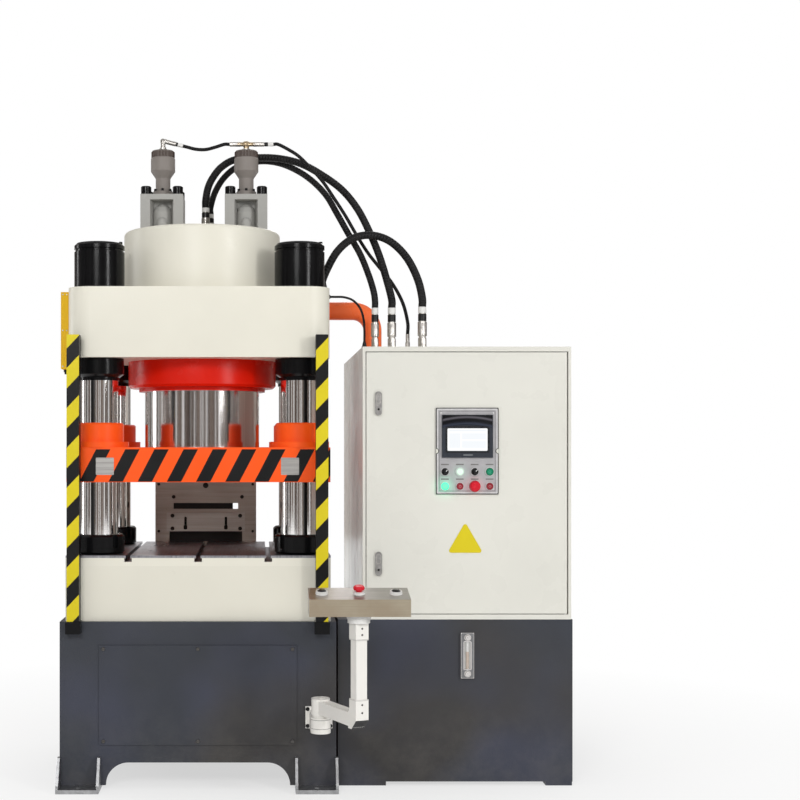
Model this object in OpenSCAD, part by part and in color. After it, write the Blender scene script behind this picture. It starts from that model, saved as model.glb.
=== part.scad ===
// Four-column down-stroke hydraulic press with a hydraulic power cabinet,
// a rear feed gate and a swing-arm operator console.
// Frame: origin on the floor under the ram axis, X to the right, Y to the rear, Z up.

/* [Base] */
// Distance that the base stands out past the bed at each side
base_side = 20; // [10:1:25]
// Depth of the welded base
base_d = 840; // [810:10:860]
// Height of the welded base
base_h = 620; // [560:10:700]
// Plate thickness of the base walls and top
base_wall = 20; // [12:1:30]
// Flat width of the arch cut in the front and rear plates
arch_flat_w = 528; // [360:2:560]
// Corner radius of the arch, which is also its height
arch_r = 86; // [50:1:110]
// Width of the front access panel
access_w = 750; // [500:10:800]
// Height of the front access panel
access_h = 378; // [250:2:400]
// Height of the access panel's lower edge above the floor
access_z = 168; // [130:2:180]
// Thickness of the access panel
access_t = 5; // [3:1:8]

/* [Anchor feet] */
// Width of each anchor foot
foot_w = 162; // [140:2:180]
// Thickness of the foot plates that carry the base
foot_t = 15; // [10:1:25]
// Reach of each foot beyond the base
foot_reach = 80; // [70:1:110]
// Height of the foot gussets above the floor
foot_gusset_h = 124; // [60:2:160]
// Thickness of the foot gussets
foot_gusset_t = 10; // [6:1:14]
// Diameter of the anchor holes
anchor_hole_dia = 22; // [14:1:26]
// Distance that the feet stand out past the base's sides
foot_side = 6; // [0:1:12]
// Distance from the base face to the anchor hole axis
anchor_out = 46; // [40:1:60]

/* [Bed and table] */
// Width of the bed, crown and slide
beam_w = 1010; // [980:10:1040]
// Depth of the bed
bed_d = 800; // [780:10:820]
// Height of the bed
bed_h = 210; // [160:5:260]
// Thickness of the table plate on the bed
table_t = 40; // [30:1:60]
// Width of the T-slots in the table plate
tslot_w = 18; // [14:1:28]
// Offset of the outer T-slots from the centre
tslot_x = 267; // [200:1:280]
// Tooling hole spacing across, in the table and the slide
tool_span_x = 400; // [300:10:440]
// Tooling hole spacing front to back, in the table and the slide
tool_span_y = 300; // [200:10:420]
// Diameter of the tooling holes
tool_hole_dia = 20; // [12:1:24]
// Depth of the tooling holes
tool_hole_depth = 30; // [20:1:30]

/* [Columns] */
// Column diameter
column_dia = 146; // [120:1:150]
// Distance from a column's axis to the side faces of the crown and bed
column_edge_x = 115; // [110:1:122]
// Distance from a column's axis to the crown's front or rear face
column_edge_y = 125; // [120:1:140]
// Height of the crown's underside above the floor
crown_z = 1642; // [1600:1:1800]
// Outer diameter of the column nuts
nut_dia = 195; // [180:1:205]
// Height of the nuts on the table and under the bed
nut_h = 75; // [50:1:79]
// Height of the collars under the crown
collar_h = 86; // [60:1:100]
// Outer diameter of the collars under the crown
crown_collar_dia = 190; // [175:1:205]
// Height of the cap nuts on the crown
cap_nut_h = 178; // [120:1:200]

/* [Crown and cylinder] */
// Depth of the crown
crown_d = 790; // [780:2:800]
// Height of the crown
crown_h = 270; // [220:5:320]
// Radius of the crown's upright edges
crown_r = 90; // [20:1:100]
// Outer diameter of the main cylinder above the crown
cylinder_dia = 634; // [610:2:640]
// Height of the main cylinder above the crown
cylinder_h = 253; // [220:1:320]
// Thickness of the cylinder's closed top
cylinder_top_t = 50; // [30:1:70]
// Diameter of the spigot that passes down through the crown
spigot_dia = 560; // [540:2:570]
// Bore of the main cylinder
cylinder_bore = 486; // [480:1:520]
// Diameter of the ram
ram_dia = 465; // [440:1:470]
// Height of the piston head
piston_h = 80; // [50:1:100]
// Outer diameter of the gland ring
gland_dia = 600; // [580:2:620]
// Height of the gland ring
gland_h = 121; // [80:1:140]

/* [Slide] */
// Depth of the slide
slide_d = 760; // [700:5:776]
// Thickness of the slide
slide_h = 133; // [110:1:160]
// Height of the slide's underside above the floor at rest
slide_z = 1164; // [1160:1:1180]
// Stroke below the rest position
stroke_down = 200; // [100:5:200]
// Stroke above the rest position
stroke_up = 150; // [50:5:150]
// Outer diameter of the guide bushes
bush_dia = 190; // [175:1:200]
// Diameter of the guide bush flanges
bush_flange_dia = 230; // [205:1:230]
// Thickness of the guide bush flanges
bush_flange_t = 22; // [14:1:30]
// Height of the guide bushes above the slide
bush_rise = 95; // [60:1:95]

/* [Safety posts and side box] */
// Width of each safety post
post_w = 47; // [35:1:60]
// Depth of each safety post
post_d = 55; // [40:1:60]
// Distance from a post's axis to the side face of the bed
post_edge = 35; // [28:1:45]
// Height of the posts' upper ends above the floor
post_top_z = 1723; // [1700:1:1880]
// Depth of the side junction box, out from the crown
box_out = 31; // [20:1:60]
// Width of the side junction box along the crown
box_w = 120; // [60:5:200]
// Height of the side junction box
box_h = 298; // [200:2:300]

/* [Prefill valves] */
// Distance between the two prefill valves' axes
valve_span = 340; // [300:2:350]
// Offset of the pair of valves to the right of the ram axis
valve_shift = 10; // [0:1:15]
// Width and depth of the valve blocks
valve_w = 172; // [150:2:190]
// Height of the valve blocks
valve_h = 153; // [140:1:180]
// Width of the window in the front of each valve block
valve_window_w = 94; // [70:1:104]
// Thickness of the block above its window
valve_lintel = 22; // [14:1:30]
// Diameter of the valve block cap screws
valve_screw_dia = 42; // [24:1:44]
// Height of the valve block cap screws' heads
valve_screw_h = 33; // [16:1:40]
// Diameter of the valve heads
valve_head_dia = 99; // [80:1:100]
// Diameter of the valve heads' necks
valve_neck_dia = 60; // [40:1:62]
// Height of the valve heads above the blocks
valve_head_h = 188; // [180:1:200]

/* [Tank] */
// Gap between the anchor feet and the oil tank
tank_gap = 4; // [2:1:14]
// Width of the oil tank
tank_w = 900; // [900:5:960]
// Front of the oil tank and cabinet, ahead of the ram axis
tank_front = 360; // [340:5:400]
// Depth of the oil tank and cabinet
tank_d = 1200; // [1000:10:1300]
// Height of the oil tank's top above the floor
tank_top_z = 637; // [600:1:660]
// Thickness of the tank plates
tank_wall = 5; // [3:1:8]
// Height of the level gauge
gauge_h = 174; // [120:2:220]
// Width of the level gauge
gauge_w = 50; // [36:2:60]

/* [Cabinet] */
// Distance from the tank's left side to the cabinet's
cab_inset = 95; // [85:1:105]
// Width of the cabinet
cab_w = 800; // [795:1:805]
// Height of the cabinet's top above the floor
cab_top_z = 1684; // [1640:1:1760]
// Thickness of the cabinet sheet
cab_sheet = 4; // [2:0.5:6]
// Margin of the door at the cabinet's left and right edges
door_margin_x = 14; // [12:1:20]
// Margin of the door at the cabinet's lower and upper edges
door_margin_z = 22; // [16:1:30]
// Thickness of the door
door_t = 20; // [16:1:28]
// Thickness of the door's front sheet
door_sheet = 3; // [2:0.5:5]
// Gap all round the door
door_gap = 3; // [2:0.5:5]
// Radius of the hinge pins
hinge_pin_r = 4; // [3:0.5:5]
// Distance from the door's left edge to the latches' axes
latch_inset = 46; // [36:1:60]
// Distance from the door's upper edge to the upper latch
latch_drop = 196; // [150:2:240]
// Distance from the door's lower edge to the lower latch
latch_rise = 192; // [150:2:240]
// Height of the latch plates
latch_h = 92; // [70:1:110]
// Width of the latch plates
latch_w = 26; // [20:1:34]

/* [Control panel] */
// Width of the control panel frame
panel_w = 240; // [230:1:250]
// Height of the control panel frame
panel_h = 332; // [320:2:340]
// Thickness of the control panel frame
panel_t = 6; // [4:1:10]
// Distance from the cabinet's top to the middle of the panel
panel_drop = 401; // [360:1:440]
// Width of the touch screen
hmi_w = 195; // [160:1:200]
// Height of the touch screen
hmi_h = 164; // [120:1:168]
// Thickness of the touch screen's bezel in front of the panel
hmi_t = 8; // [5:1:12]
// Spacing of the control buttons
button_pitch = 57; // [50:1:57]
// Outer diameter of the button rings
button_ring_dia = 30; // [27:1:34]
// Diameter of the button caps
button_cap_dia = 23; // [18:1:23]
// Travel of a push button
button_travel = 4; // [3:0.5:5]
// Diameter of the emergency stop mushrooms
estop_dia = 40; // [32:1:44]
// Travel of an emergency stop
estop_travel = 6; // [4:0.5:7]

/* [Console] */
// Width of the operator console
console_w = 352; // [330:2:400]
// Depth of the operator console
console_d = 130; // [120:2:150]
// Height of the console's front edge
console_front_h = 60; // [45:1:75]
// Height of the console's back edge
console_back_h = 88; // [76:1:110]
// Thickness of the console sheet
console_sheet = 3; // [2:0.5:4]
// Height of the console's underside above the floor
console_z = 712; // [680:1:800]
// Width of the square riser tube
riser_w = 42; // [36:1:50]
// Wall thickness of the riser tube
riser_wall = 3; // [2:0.5:5]
// Thickness of the sockets that hold the riser
socket_wall = 4; // [3:0.5:6]
// Height of the arm's axis above the floor
arm_z = 342; // [335:1:400]
// Height of the arm's box section
arm_h = 48; // [40:1:54]
// Width of the arm's box section
arm_w = 44; // [36:1:50]
// Length of the arm between its two axes
arm_l = 300; // [280:2:320]
// Angle of the arm at rest, to the right of straight ahead
arm_angle = 24; // [15:1:30]
// Reach of the bracket from the base to the arm's pivot
bracket_reach = 150; // [130:1:170]
// Distance from the ram axis to the bracket's middle
bracket_x = 459; // [440:1:465]
// Height of the bracket's middle above the floor
bracket_z = 274; // [260:1:280]
// Distance of a palm button from the console's middle
palm_x = 130; // [100:1:140]
// Diameter of the palm buttons
palm_dia = 42; // [36:1:46]

/* [Feed gate] */
// Width of the rear gate plate
gate_w = 440; // [420:5:460]
// Height of the gate plate's top above the floor
gate_top_z = 1160; // [1120:5:1200]
// Thickness of the gate plate
gate_t = 12; // [8:1:16]
// Width of the feed slot in the gate plate
feed_slot_w = 282; // [220:2:320]
// Height of the feed slot
feed_slot_h = 26; // [16:1:36]
// Width of the lower opening in the gate plate
gate_open_w = 318; // [260:2:340]
// Height of the lower opening
gate_open_h = 55; // [40:1:58]
// Thickness of the shutter
shutter_t = 8; // [6:1:10]
// Travel of the shutter
shutter_travel = 40; // [20:1:45]

/* [Clearances] */
// Radial clearance of the columns in the nuts and beams
seat_gap = 0.25; // [0.1:0.05:0.5]
// Radial running clearance of the slide, the ram and the pivots
run_gap = 0.3; // [0.2:0.05:0.6]
// Gap between faces that move past each other
face_gap = 0.3; // [0.2:0.05:0.6]

/* [Hidden] */
$fn = 64;

// Colours
cream = [0.85, 0.85, 0.78];
dark_blue = [0.26, 0.27, 0.31];
orange = [0.96, 0.31, 0.06];
gland_red = [0.74, 0.09, 0.04];
steel = [0.55, 0.56, 0.58];
dark_steel = [0.2, 0.2, 0.22];
chrome = [0.8, 0.81, 0.83];
black = [0.07, 0.07, 0.08];
silver = [0.69, 0.68, 0.69];
white = [0.92, 0.91, 0.88];
stainless = [0.62, 0.57, 0.5];
button_green = [0.1, 0.62, 0.25];
button_red = [0.75, 0.06, 0.05];
eps = 1;

// Places across, from the ram axis to the right
base_w = beam_w + 2 * base_side;
anchor_span_x = base_w + 2 * foot_side - foot_w;
tank_x0 = (anchor_span_x + foot_w) / 2 + tank_gap;
cab_x0 = tank_x0 + cab_inset;

// Levels, from the floor up
base_top = foot_t + base_h;
table_z = base_top + bed_h;
table_top = table_z + table_t;
crown_top = crown_z + crown_h;
cylinder_top = crown_top + cylinder_h;
chamber_top = cylinder_top - cylinder_top_t;
slide_top = slide_z + slide_h;
ram_reserve = 35;
ram_top = chamber_top - stroke_up - ram_reserve;
valve_top = cylinder_top + valve_h;

// Columns and their nuts
column_span_x = beam_w - 2 * column_edge_x;
column_span_y = crown_d - 2 * column_edge_y;
column_foot = base_top - nut_h - 15;
column_head = crown_top + cap_nut_h - 25;
nut_chamfer = 8;
spanner_slot_w = 24;
spanner_slot_d = 9;
nut_relief = 15;
collar_r = crown_collar_dia / 2;
column_bore_dia = column_dia + 2 * seat_gap;

// Posts
post_gap = 5;
post_crown_gap = 10;
post_slide_gap = 25;
post_shelf_lap = 15;
post_back = -max(bed_d / 2 + post_gap, crown_d / 2 + post_crown_gap, slide_d / 2 + post_slide_gap,
    base_d / 2 - post_shelf_lap);
post_front = post_back - post_d;
post_z = base_top + post_gap;
post_span = beam_w - 2 * post_edge;

// Cabinet and door
cab_x1 = cab_x0 + cab_w;
cab_front = -tank_front;
cab_back = cab_front + tank_d;
door_x0 = cab_x0 + door_margin_x;
door_x1 = cab_x1 - door_margin_x;
door_z0 = tank_top_z + door_margin_z;
door_z1 = cab_top_z - door_margin_z;
hinge_inset = 8;
hinge_x = door_x1 - hinge_inset;
hinge_y = cab_front + hinge_inset;
hinge_pin_grip = 25;
door_rim = 18;
pump_hole = [[780, 120], [1280, 480]];
latch_x = door_x0 + latch_inset;
latch_z = [door_z1 - latch_drop, door_z0 + latch_rise];
latch_pin_r = 7;

// Control panel
panel_x = cab_x0 + cab_w / 2;
panel_z = cab_top_z - panel_drop;
panel_front = cab_front - panel_t;
ring_h = 5;
ring_front = panel_front - ring_h;
row_drop = [79, 135];
hmi_rise = 57;
hmi_body = [hmi_w - 20, hmi_h - 20];
button_reach = 15;
button_proud = 4;
button_hole_r = button_cap_dia / 2 + run_gap;

// Console
arm_pivot_y = -base_d / 2 - bracket_reach;
elbow_x = bracket_x + arm_l * sin(arm_angle);
elbow_y = arm_pivot_y - arm_l * cos(arm_angle);
arm_top = arm_z + arm_h / 2;
arm_bottom = arm_z - arm_h / 2;
arm_hub_r = 34;
arm_hub_lap = 6;
pivot_pin_r = 12;
socket_w = riser_w + 2 * socket_wall;
elbow_foot = arm_bottom - 6;
elbow_h = 105;
console_collar_h = 28;
riser_head = console_z - console_collar_h - face_gap;
console_slope = atan((console_back_h - console_front_h) / console_d);
collar_dia = 78;
palm_ring_w = 5;
palm_r = palm_dia / 2 - palm_ring_w;
palm_ring_h = 10;
estop_stem_r = 11;
estop_collar_h = 8;

// Gate
gate_front = bed_d / 2;
gate_foot = table_z - 120;
feed_slot_z = table_top + 142;
stud_r = 5;
stud_head_r = 10;
stud_head_t = 6;
stud_x = 88;
shutter_slot_w = 11;
shutter_foot = table_top + shutter_travel + 5;
shutter_h = shutter_travel + 40;
shutter_w = gate_open_w + 22;
stud_z = shutter_foot + 18;

// Hoses and their fittings
hose_dia = [26, 30, 31];
pilot_dia = 14;
cable_dia = 9;
cylinder_port = [[30, 130], [12, 60]];
cylinder_fitting_h = [105, 120];
crown_port = [beam_w / 2 - 20, -150];
crown_fitting_h = 30;
cabinet_port = [[690, -200], [756, -200], [824, -150], [872, -240]];
cabinet_fitting_h = 164;
pilot_fitting_h = 64;
pilot_z = 2535;
elbow_z = 2548;
cable_port = [beam_w / 2, -150, crown_top - 16];
cable_gland = [648, -200];
cable_gland_h = 32;

pressure_path_1 = [
    [30, 130, 2270], [30, 130, 2300], [50, 130, 2365], [90, 130, 2427], [150, 130, 2472],
    [235, 125, 2490], [315, 112, 2480], [390, 90, 2445], [455, 65, 2395], [510, 35, 2330],
    [552, 0, 2250], [596, -45, 2160], [638, -95, 2075], [668, -150, 1985], [685, -190, 1915],
    [690, -200, 1875], [690, -200, 1848]
];
pressure_path_2 = [
    [12, 60, 2285], [12, 60, 2315], [22, 65, 2370], [45, 72, 2418], [80, 80, 2460],
    [135, 87, 2490], [235, 82, 2497], [320, 68, 2490], [405, 48, 2465], [490, 27, 2415],
    [570, 0, 2350], [630, -30, 2270], [675, -65, 2175], [712, -115, 2070], [740, -165, 1960],
    [756, -200, 1880], [756, -200, 1848]
];
pressure_path_3 = [
    [485, -150, 1942], [485, -150, 1962], [505, -150, 2010], [535, -150, 2065], [570, -145, 2105],
    [610, -140, 2132], [655, -140, 2143], [700, -142, 2140], [742, -150, 2124],
    [780, -160, 2095], [815, -178, 2052], [842, -198, 2000], [862, -222, 1940],
    [872, -240, 1880], [872, -240, 1848]
];
pilot_path_long = [
    [291, 0, 2535], [310, 0, 2535], [350, 0, 2515], [395, 0, 2486], [443, -5, 2437],
    [492, -15, 2380], [537, -22, 2312], [582, -32, 2240], [626, -48, 2160], [672, -65, 2083],
    [716, -88, 2022], [765, -115, 1955], [805, -138, 1875], [824, -150, 1795],
    [824, -150, 1748]
];
pilot_path_short = [
    [-78, 0, 2528], [-62, 0, 2524], [-25, 0, 2515], [15, 0, 2514], [55, 0, 2524],
    [90, 0, 2535], [112, 0, 2535]
];
cable_path = [
    [517, -150, 1896], [535, -150, 1896], [570, -158, 1894], [605, -170, 1880],
    [632, -185, 1848], [645, -195, 1805], [648, -200, 1760], [648, -200, 1716]
];

// ---- Helpers ----

// A block between its lowest and highest corners
module block(low, high) {
    translate(low) cube(high - low);
}

// Its children at the four corners of a rectangle centred on the Z axis
module at_corners(span_x, span_y) {
    for (x = [-span_x / 2, span_x / 2], y = [-span_y / 2, span_y / 2])
        translate([x, y, 0]) children();
}

module at_columns() {
    at_corners(column_span_x, column_span_y) children();
}

// A column's bore through everything between two levels
module column_bores(low, high, dia = column_bore_dia) {
    at_columns() translate([0, 0, low - eps]) cylinder(d = dia, h = high - low + 2 * eps);
}

// A cylinder on the Z axis between two levels
module cylinder_between(r, low, high) {
    translate([0, 0, low]) cylinder(r = r, h = high - low);
}

// A rod along Y between two depths
module rod_y(r, front, back) {
    translate([0, front, 0]) rotate([-90, 0, 0]) cylinder(r = r, h = back - front);
}

// An upright plate with rounded vertical edges, centred on the Z axis
module rounded_block(w, d, r, low, high) {
    translate([0, 0, low]) linear_extrude(high - low) {
        square([w - 2 * r, d], center = true);
        square([w, d - 2 * r], center = true);
        at_corners(w - 2 * r, d - 2 * r) circle(r);
    }
}

// A turned ring with chamfered outer edges
module turned_ring(r_in, r_out, low, high, chamfer) {
    rotate_extrude() polygon([
        [r_in, low], [r_out - chamfer, low], [r_out, low + chamfer], [r_out, high - chamfer],
        [r_out - chamfer, high], [r_in, high]
    ]);
}

// A turned solid with a chamfered top
module turned_disc(r, low, high, chamfer) {
    rotate_extrude() polygon([
        [0, low], [r, low], [r, high - chamfer], [r - chamfer, high], [0, high]
    ]);
}

// ---- Base ----

module arch_outline() {
    translate([-arch_flat_w / 2, -eps]) square([arch_flat_w, arch_r + eps]);
    for (side = [-1, 1]) translate([side * arch_flat_w / 2, 0]) circle(arch_r);
}

module base_frame() {
    window_lip = 30;
    color(dark_blue) difference() {
        block([-base_w / 2, -base_d / 2, foot_t], [base_w / 2, base_d / 2, base_top]);
        block([-base_w / 2 + base_wall, -base_d / 2 + base_wall, foot_t - eps],
            [base_w / 2 - base_wall, base_d / 2 - base_wall, base_top - base_wall]);
        translate([0, base_d / 2 + eps, foot_t]) rotate([90, 0, 0])
            linear_extrude(base_d + 2 * eps) arch_outline();
        block([window_lip - access_w / 2, -base_d / 2 - eps, access_z + window_lip],
            [access_w / 2 - window_lip, base_wall + eps - base_d / 2, access_z + access_h - window_lip]);
        column_bores(base_top - base_wall, base_top, nut_dia + 2 * nut_relief);
    }
}

// Its children at the access panel's six screw places
module at_panel_screws() {
    inset = 14;
    for (x = [-1, 0, 1], z = [access_z + inset, access_z + access_h - inset])
        translate([x * (access_w / 2 - inset - 2), -base_d / 2 - access_t, z]) children();
}

module base_access_panel() {
    color(dark_blue)
        block([-access_w / 2, -base_d / 2 - access_t, access_z],
            [access_w / 2, -base_d / 2, access_z + access_h]);
}

// Dome-headed screws with hexagonal sockets
module panel_screws() {
    head_r = 7;
    head_h = 4;
    color(steel) at_panel_screws() rotate([90, 0, 0]) difference() {
        turned_disc(head_r, 0, head_h, 1.5);
        translate([0, 0, head_h - 2.5]) cylinder(r = 3, h = 3, $fn = 6);
    }
}

// One foot at the front face: a bored plate under the base with two gussets
module anchor_foot() {
    under = 3 * base_wall;
    gusset = [
        [0, foot_t], [-foot_reach + 6, foot_t], [-foot_reach + 6, foot_t + 14],
        [-24, foot_gusset_h], [0, foot_gusset_h]
    ];
    difference() {
        translate([-foot_w / 2, -foot_reach, 0]) cube([foot_w, foot_reach + under, foot_t]);
        translate([0, -anchor_out, -eps]) cylinder(d = anchor_hole_dia, h = foot_t + 2 * eps);
    }
    for (x = [-foot_w / 2, foot_w / 2 - foot_gusset_t])
        translate([x, 0, 0]) rotate([90, 0, 90]) linear_extrude(foot_gusset_t) polygon(gusset);
}

module anchor_feet() {
    color(silver) for (x = [-anchor_span_x / 2, anchor_span_x / 2], turn = [0, 180])
        rotate([0, 0, turn]) translate([x, -base_d / 2, 0]) anchor_foot();
}

// ---- Bed, table and columns ----

module lower_beam() {
    pocket_w = column_span_x - nut_dia - 45;
    pocket_d = column_span_y - 40;
    pocket_roof = 60;
    color(cream) difference() {
        block([-beam_w / 2, -bed_d / 2, base_top], [beam_w / 2, bed_d / 2, table_z]);
        block([-pocket_w / 2, -pocket_d / 2, base_top - eps],
            [pocket_w / 2, pocket_d / 2, table_z - pocket_roof]);
        column_bores(base_top, table_z);
    }
}

// Its children at the four tooling holes
module at_tool_holes() {
    at_corners(tool_span_x, tool_span_y) children();
}

module tslot(x) {
    foot_h = 14;
    roof = 10;
    block([x - tslot_w / 2, -bed_d / 2 - eps, table_top - foot_h - roof],
        [x + tslot_w / 2, bed_d / 2 + eps, table_top + eps]);
    block([x - 0.8 * tslot_w, -bed_d / 2 - eps, table_top - foot_h - roof],
        [x + 0.8 * tslot_w, bed_d / 2 + eps, table_top - roof]);
}

module table_plate() {
    color(dark_steel) difference() {
        block([-beam_w / 2, -bed_d / 2, table_z], [beam_w / 2, bed_d / 2, table_top]);
        column_bores(table_z, table_top);
        for (x = [-tslot_x, 0, tslot_x]) tslot(x);
        at_tool_holes() translate([0, 0, table_top - tool_hole_depth])
            cylinder(d = tool_hole_dia, h = tool_hole_depth + eps);
    }
}

module columns() {
    color(chrome) at_columns() turned_disc(column_dia / 2, column_foot, column_head, 5);
}

// A ring nut with four spanner slots round its rim
module ring_nut(low, high) {
    difference() {
        turned_ring(column_bore_dia / 2, nut_dia / 2, low, high, nut_chamfer);
        for (turn = [45:90:315]) rotate([0, 0, turn])
            block([nut_dia / 2 - spanner_slot_d, -spanner_slot_w / 2, low + nut_h / 3],
                [nut_dia / 2 + eps, spanner_slot_w / 2, high + eps]);
    }
}

module column_lower_nuts() {
    color(black) at_columns() {
        ring_nut(table_top, table_top + nut_h);
        ring_nut(base_top - nut_h, base_top);
    }
}

// Stepped collars that the crown sits on
module column_collars() {
    lip = 18;
    color(black) at_columns() rotate_extrude() polygon([
        [column_bore_dia / 2, crown_z - collar_h], [collar_r - lip, crown_z - collar_h],
        [collar_r - lip, crown_z - collar_h + 12], [collar_r, crown_z - collar_h + 24],
        [collar_r, crown_z], [column_bore_dia / 2, crown_z]
    ]);
}

// Closed nuts over the column heads, with a ring groove and a chamfered top
module column_cap_nuts() {
    r = nut_dia / 2;
    top = crown_top + cap_nut_h;
    groove_z = top - 34;
    color(black) at_columns() rotate_extrude() polygon([
        [column_bore_dia / 2, crown_top], [r, crown_top], [r, groove_z], [r - 5, groove_z + 2],
        [r - 5, groove_z + 8], [r, groove_z + 10], [r, top - 10], [r - 10, top], [0, top],
        [0, column_head + seat_gap], [column_bore_dia / 2, column_head + seat_gap]
    ]);
    // A vent plug and a locking screw on top of each nut
    color(black) at_columns() for (x = [-17, r - 15])
        translate([x, 0, top - eps]) cylinder(r = 7, h = 8 + eps, $fn = 6);
}

// ---- Crown and cylinder ----

module crown() {
    color(cream) difference() {
        rounded_block(beam_w, crown_d, crown_r, crown_z, crown_top);
        column_bores(crown_z, crown_top);
        translate([0, 0, crown_z - eps])
            cylinder(d = spigot_dia + 2 * seat_gap, h = crown_h + 2 * eps);
    }
}

// Closed cylinder: a flanged barrel above the crown and a spigot down through it
module main_cylinder() {
    edge = 14;
    r = cylinder_dia / 2;
    color(cream) difference() {
        rotate_extrude($fn = 96) {
            polygon([
                [cylinder_bore / 2, crown_z], [spigot_dia / 2, crown_z], [spigot_dia / 2, crown_top],
                [r, crown_top], [r, cylinder_top - edge], [r - edge, cylinder_top - edge],
                [r - edge, cylinder_top], [0, cylinder_top], [0, chamber_top],
                [cylinder_bore / 2, chamber_top]
            ]);
            intersection() {
                translate([r - edge, cylinder_top - edge]) circle(edge);
                translate([r - edge, cylinder_top - edge]) square(edge);
            }
        }
        // Feed ports under the fittings and the prefill valves
        for (port = cylinder_port) translate([port[0], port[1], chamber_top - eps])
            cylinder(r = 9, h = cylinder_top_t + 2 * eps);
        at_valves() translate([0, 0, chamber_top - eps])
            cylinder(d = valve_neck_dia, h = cylinder_top_t + 2 * eps);
    }
}

// Bolted gland with a seal lip round the ram
module gland_ring() {
    r = gland_dia / 2;
    bore_r = ram_dia / 2 + run_gap;
    lip_r = bore_r + 24;
    lip_h = 14;
    color(gland_red) rotate_extrude($fn = 96) polygon([
        [bore_r, crown_z - gland_h], [lip_r, crown_z - gland_h], [lip_r, crown_z - gland_h + lip_h],
        [r - 10, crown_z - gland_h + lip_h], [r, crown_z - gland_h + lip_h + 10],
        [r, crown_z], [bore_r, crown_z]
    ]);
}

// ---- Slide, ram and guide bushes ----

module slide() {
    color(orange) difference() {
        block([-beam_w / 2, -slide_d / 2, slide_z], [beam_w / 2, slide_d / 2, slide_top]);
        column_bores(slide_z, slide_top, bush_dia + 2 * seat_gap);
        at_tool_holes() translate([0, 0, slide_z - eps])
            cylinder(d = tool_hole_dia, h = tool_hole_depth + eps);
    }
}

// Chromed ram with its piston head
module ram() {
    r = ram_dia / 2;
    piston_r = cylinder_bore / 2 - run_gap;
    color(chrome) rotate_extrude($fn = 96) polygon([
        [0, slide_top], [r, slide_top], [r, ram_top - piston_h], [piston_r, ram_top - piston_h],
        [piston_r, ram_top - 6], [piston_r - 6, ram_top], [0, ram_top]
    ]);
}

// Flanged bushes through the slide
module guide_bushes() {
    bore_r = column_dia / 2 + run_gap;
    sleeve_r = bush_dia / 2;
    flange_r = bush_flange_dia / 2;
    top = slide_top + bush_rise;
    color(orange) at_columns() rotate_extrude() polygon([
        [bore_r, slide_z], [sleeve_r, slide_z], [sleeve_r, slide_top], [flange_r, slide_top],
        [flange_r, slide_top + bush_flange_t], [sleeve_r, slide_top + bush_flange_t],
        [sleeve_r, top - 6], [sleeve_r - 6, top], [bore_r, top]
    ]);
}

// ---- Safety posts and side box ----

module at_posts() {
    for (side = [-1, 1]) translate([side * post_span / 2, 0, 0]) children();
}

module safety_posts() {
    color("yellow") at_posts()
        block([-post_w / 2, post_front, post_z], [post_w / 2, post_back, post_top_z]);
}

// Shelf brackets on the base front and straps from the posts' backs to the crown
module post_brackets() {
    shelf_w = post_w + 10;
    shelf_front = post_front - 4;
    shelf_drop = 42;
    strap_z = crown_z + 23;
    strap_h = 42;
    color(black) {
        at_posts() {
            block([-shelf_w / 2, shelf_front, base_top], [shelf_w / 2, post_back, post_z]);
            block([-shelf_w / 2, shelf_front, base_top - shelf_drop],
                [shelf_w / 2, -base_d / 2, base_top]);
        }
        difference() {
            at_posts() block([-post_w / 2, post_back, strap_z],
                [post_w / 2, crown_r - crown_d / 2, strap_z + strap_h]);
            rounded_block(beam_w, crown_d, crown_r, crown_z, crown_top);
        }
    }
}

module side_junction_box() {
    front = crown_r - crown_d / 2;
    color([0.85, 0.68, 0.12])
        block([-beam_w / 2 - box_out, front, crown_top - 13 - box_h],
            [-beam_w / 2, front + box_w, crown_top - 13]);
}

// ---- Prefill valves ----

module at_valves() {
    for (side = [-1, 1]) translate([valve_shift + side * valve_span / 2, 0, 0]) children();
}

// Blocks open at the front, with the poppet housing standing in the opening
module prefill_valves() {
    half = valve_w / 2;
    window_depth = 62;
    taper = 12;
    window_h = valve_h - valve_lintel;
    housing_r = 0.42 * valve_window_w;
    color([0.62, 0.62, 0.64]) at_valves() {
        difference() {
            block([-half, -half, cylinder_top], [half, half, valve_top]);
            translate([0, 0, cylinder_top - eps]) linear_extrude(window_h + eps) polygon([
                [-valve_window_w / 2, -half - eps], [valve_window_w / 2, -half - eps],
                [valve_window_w / 2 - taper, window_depth - half],
                [taper - valve_window_w / 2, window_depth - half]
            ]);
        }
        translate([0, window_depth - half, 0]) rotate_extrude() polygon([
            [0, cylinder_top], [housing_r, cylinder_top], [housing_r, valve_top - valve_lintel - 46],
            [0.8 * housing_r, valve_top - valve_lintel - 26],
            [0.45 * housing_r, valve_top - valve_lintel - 14], [0, valve_top - valve_lintel - 10]
        ]);
        translate([0, window_depth - half - housing_r + 4, 0]) rotate_extrude() polygon([
            [0, cylinder_top], [22, cylinder_top], [22, cylinder_top + 40],
            [17, cylinder_top + 54], [9, cylinder_top + 61], [0, cylinder_top + 63]
        ]);
    }
}

// Its children at the four cap screws of each block
module at_valve_screws() {
    inset = 2;
    at_valves() at_corners(valve_w - valve_screw_dia - inset, valve_w - valve_screw_dia - inset)
        children();
}

module valve_cap_screws() {
    socket_h = 14;
    color(black) at_valve_screws() difference() {
        turned_disc(valve_screw_dia / 2, valve_top, valve_top + valve_screw_h, 3);
        translate([0, 0, valve_top + valve_screw_h - socket_h])
            cylinder(d = 0.5 * valve_screw_dia, h = socket_h + eps, $fn = 6);
    }
}

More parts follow.
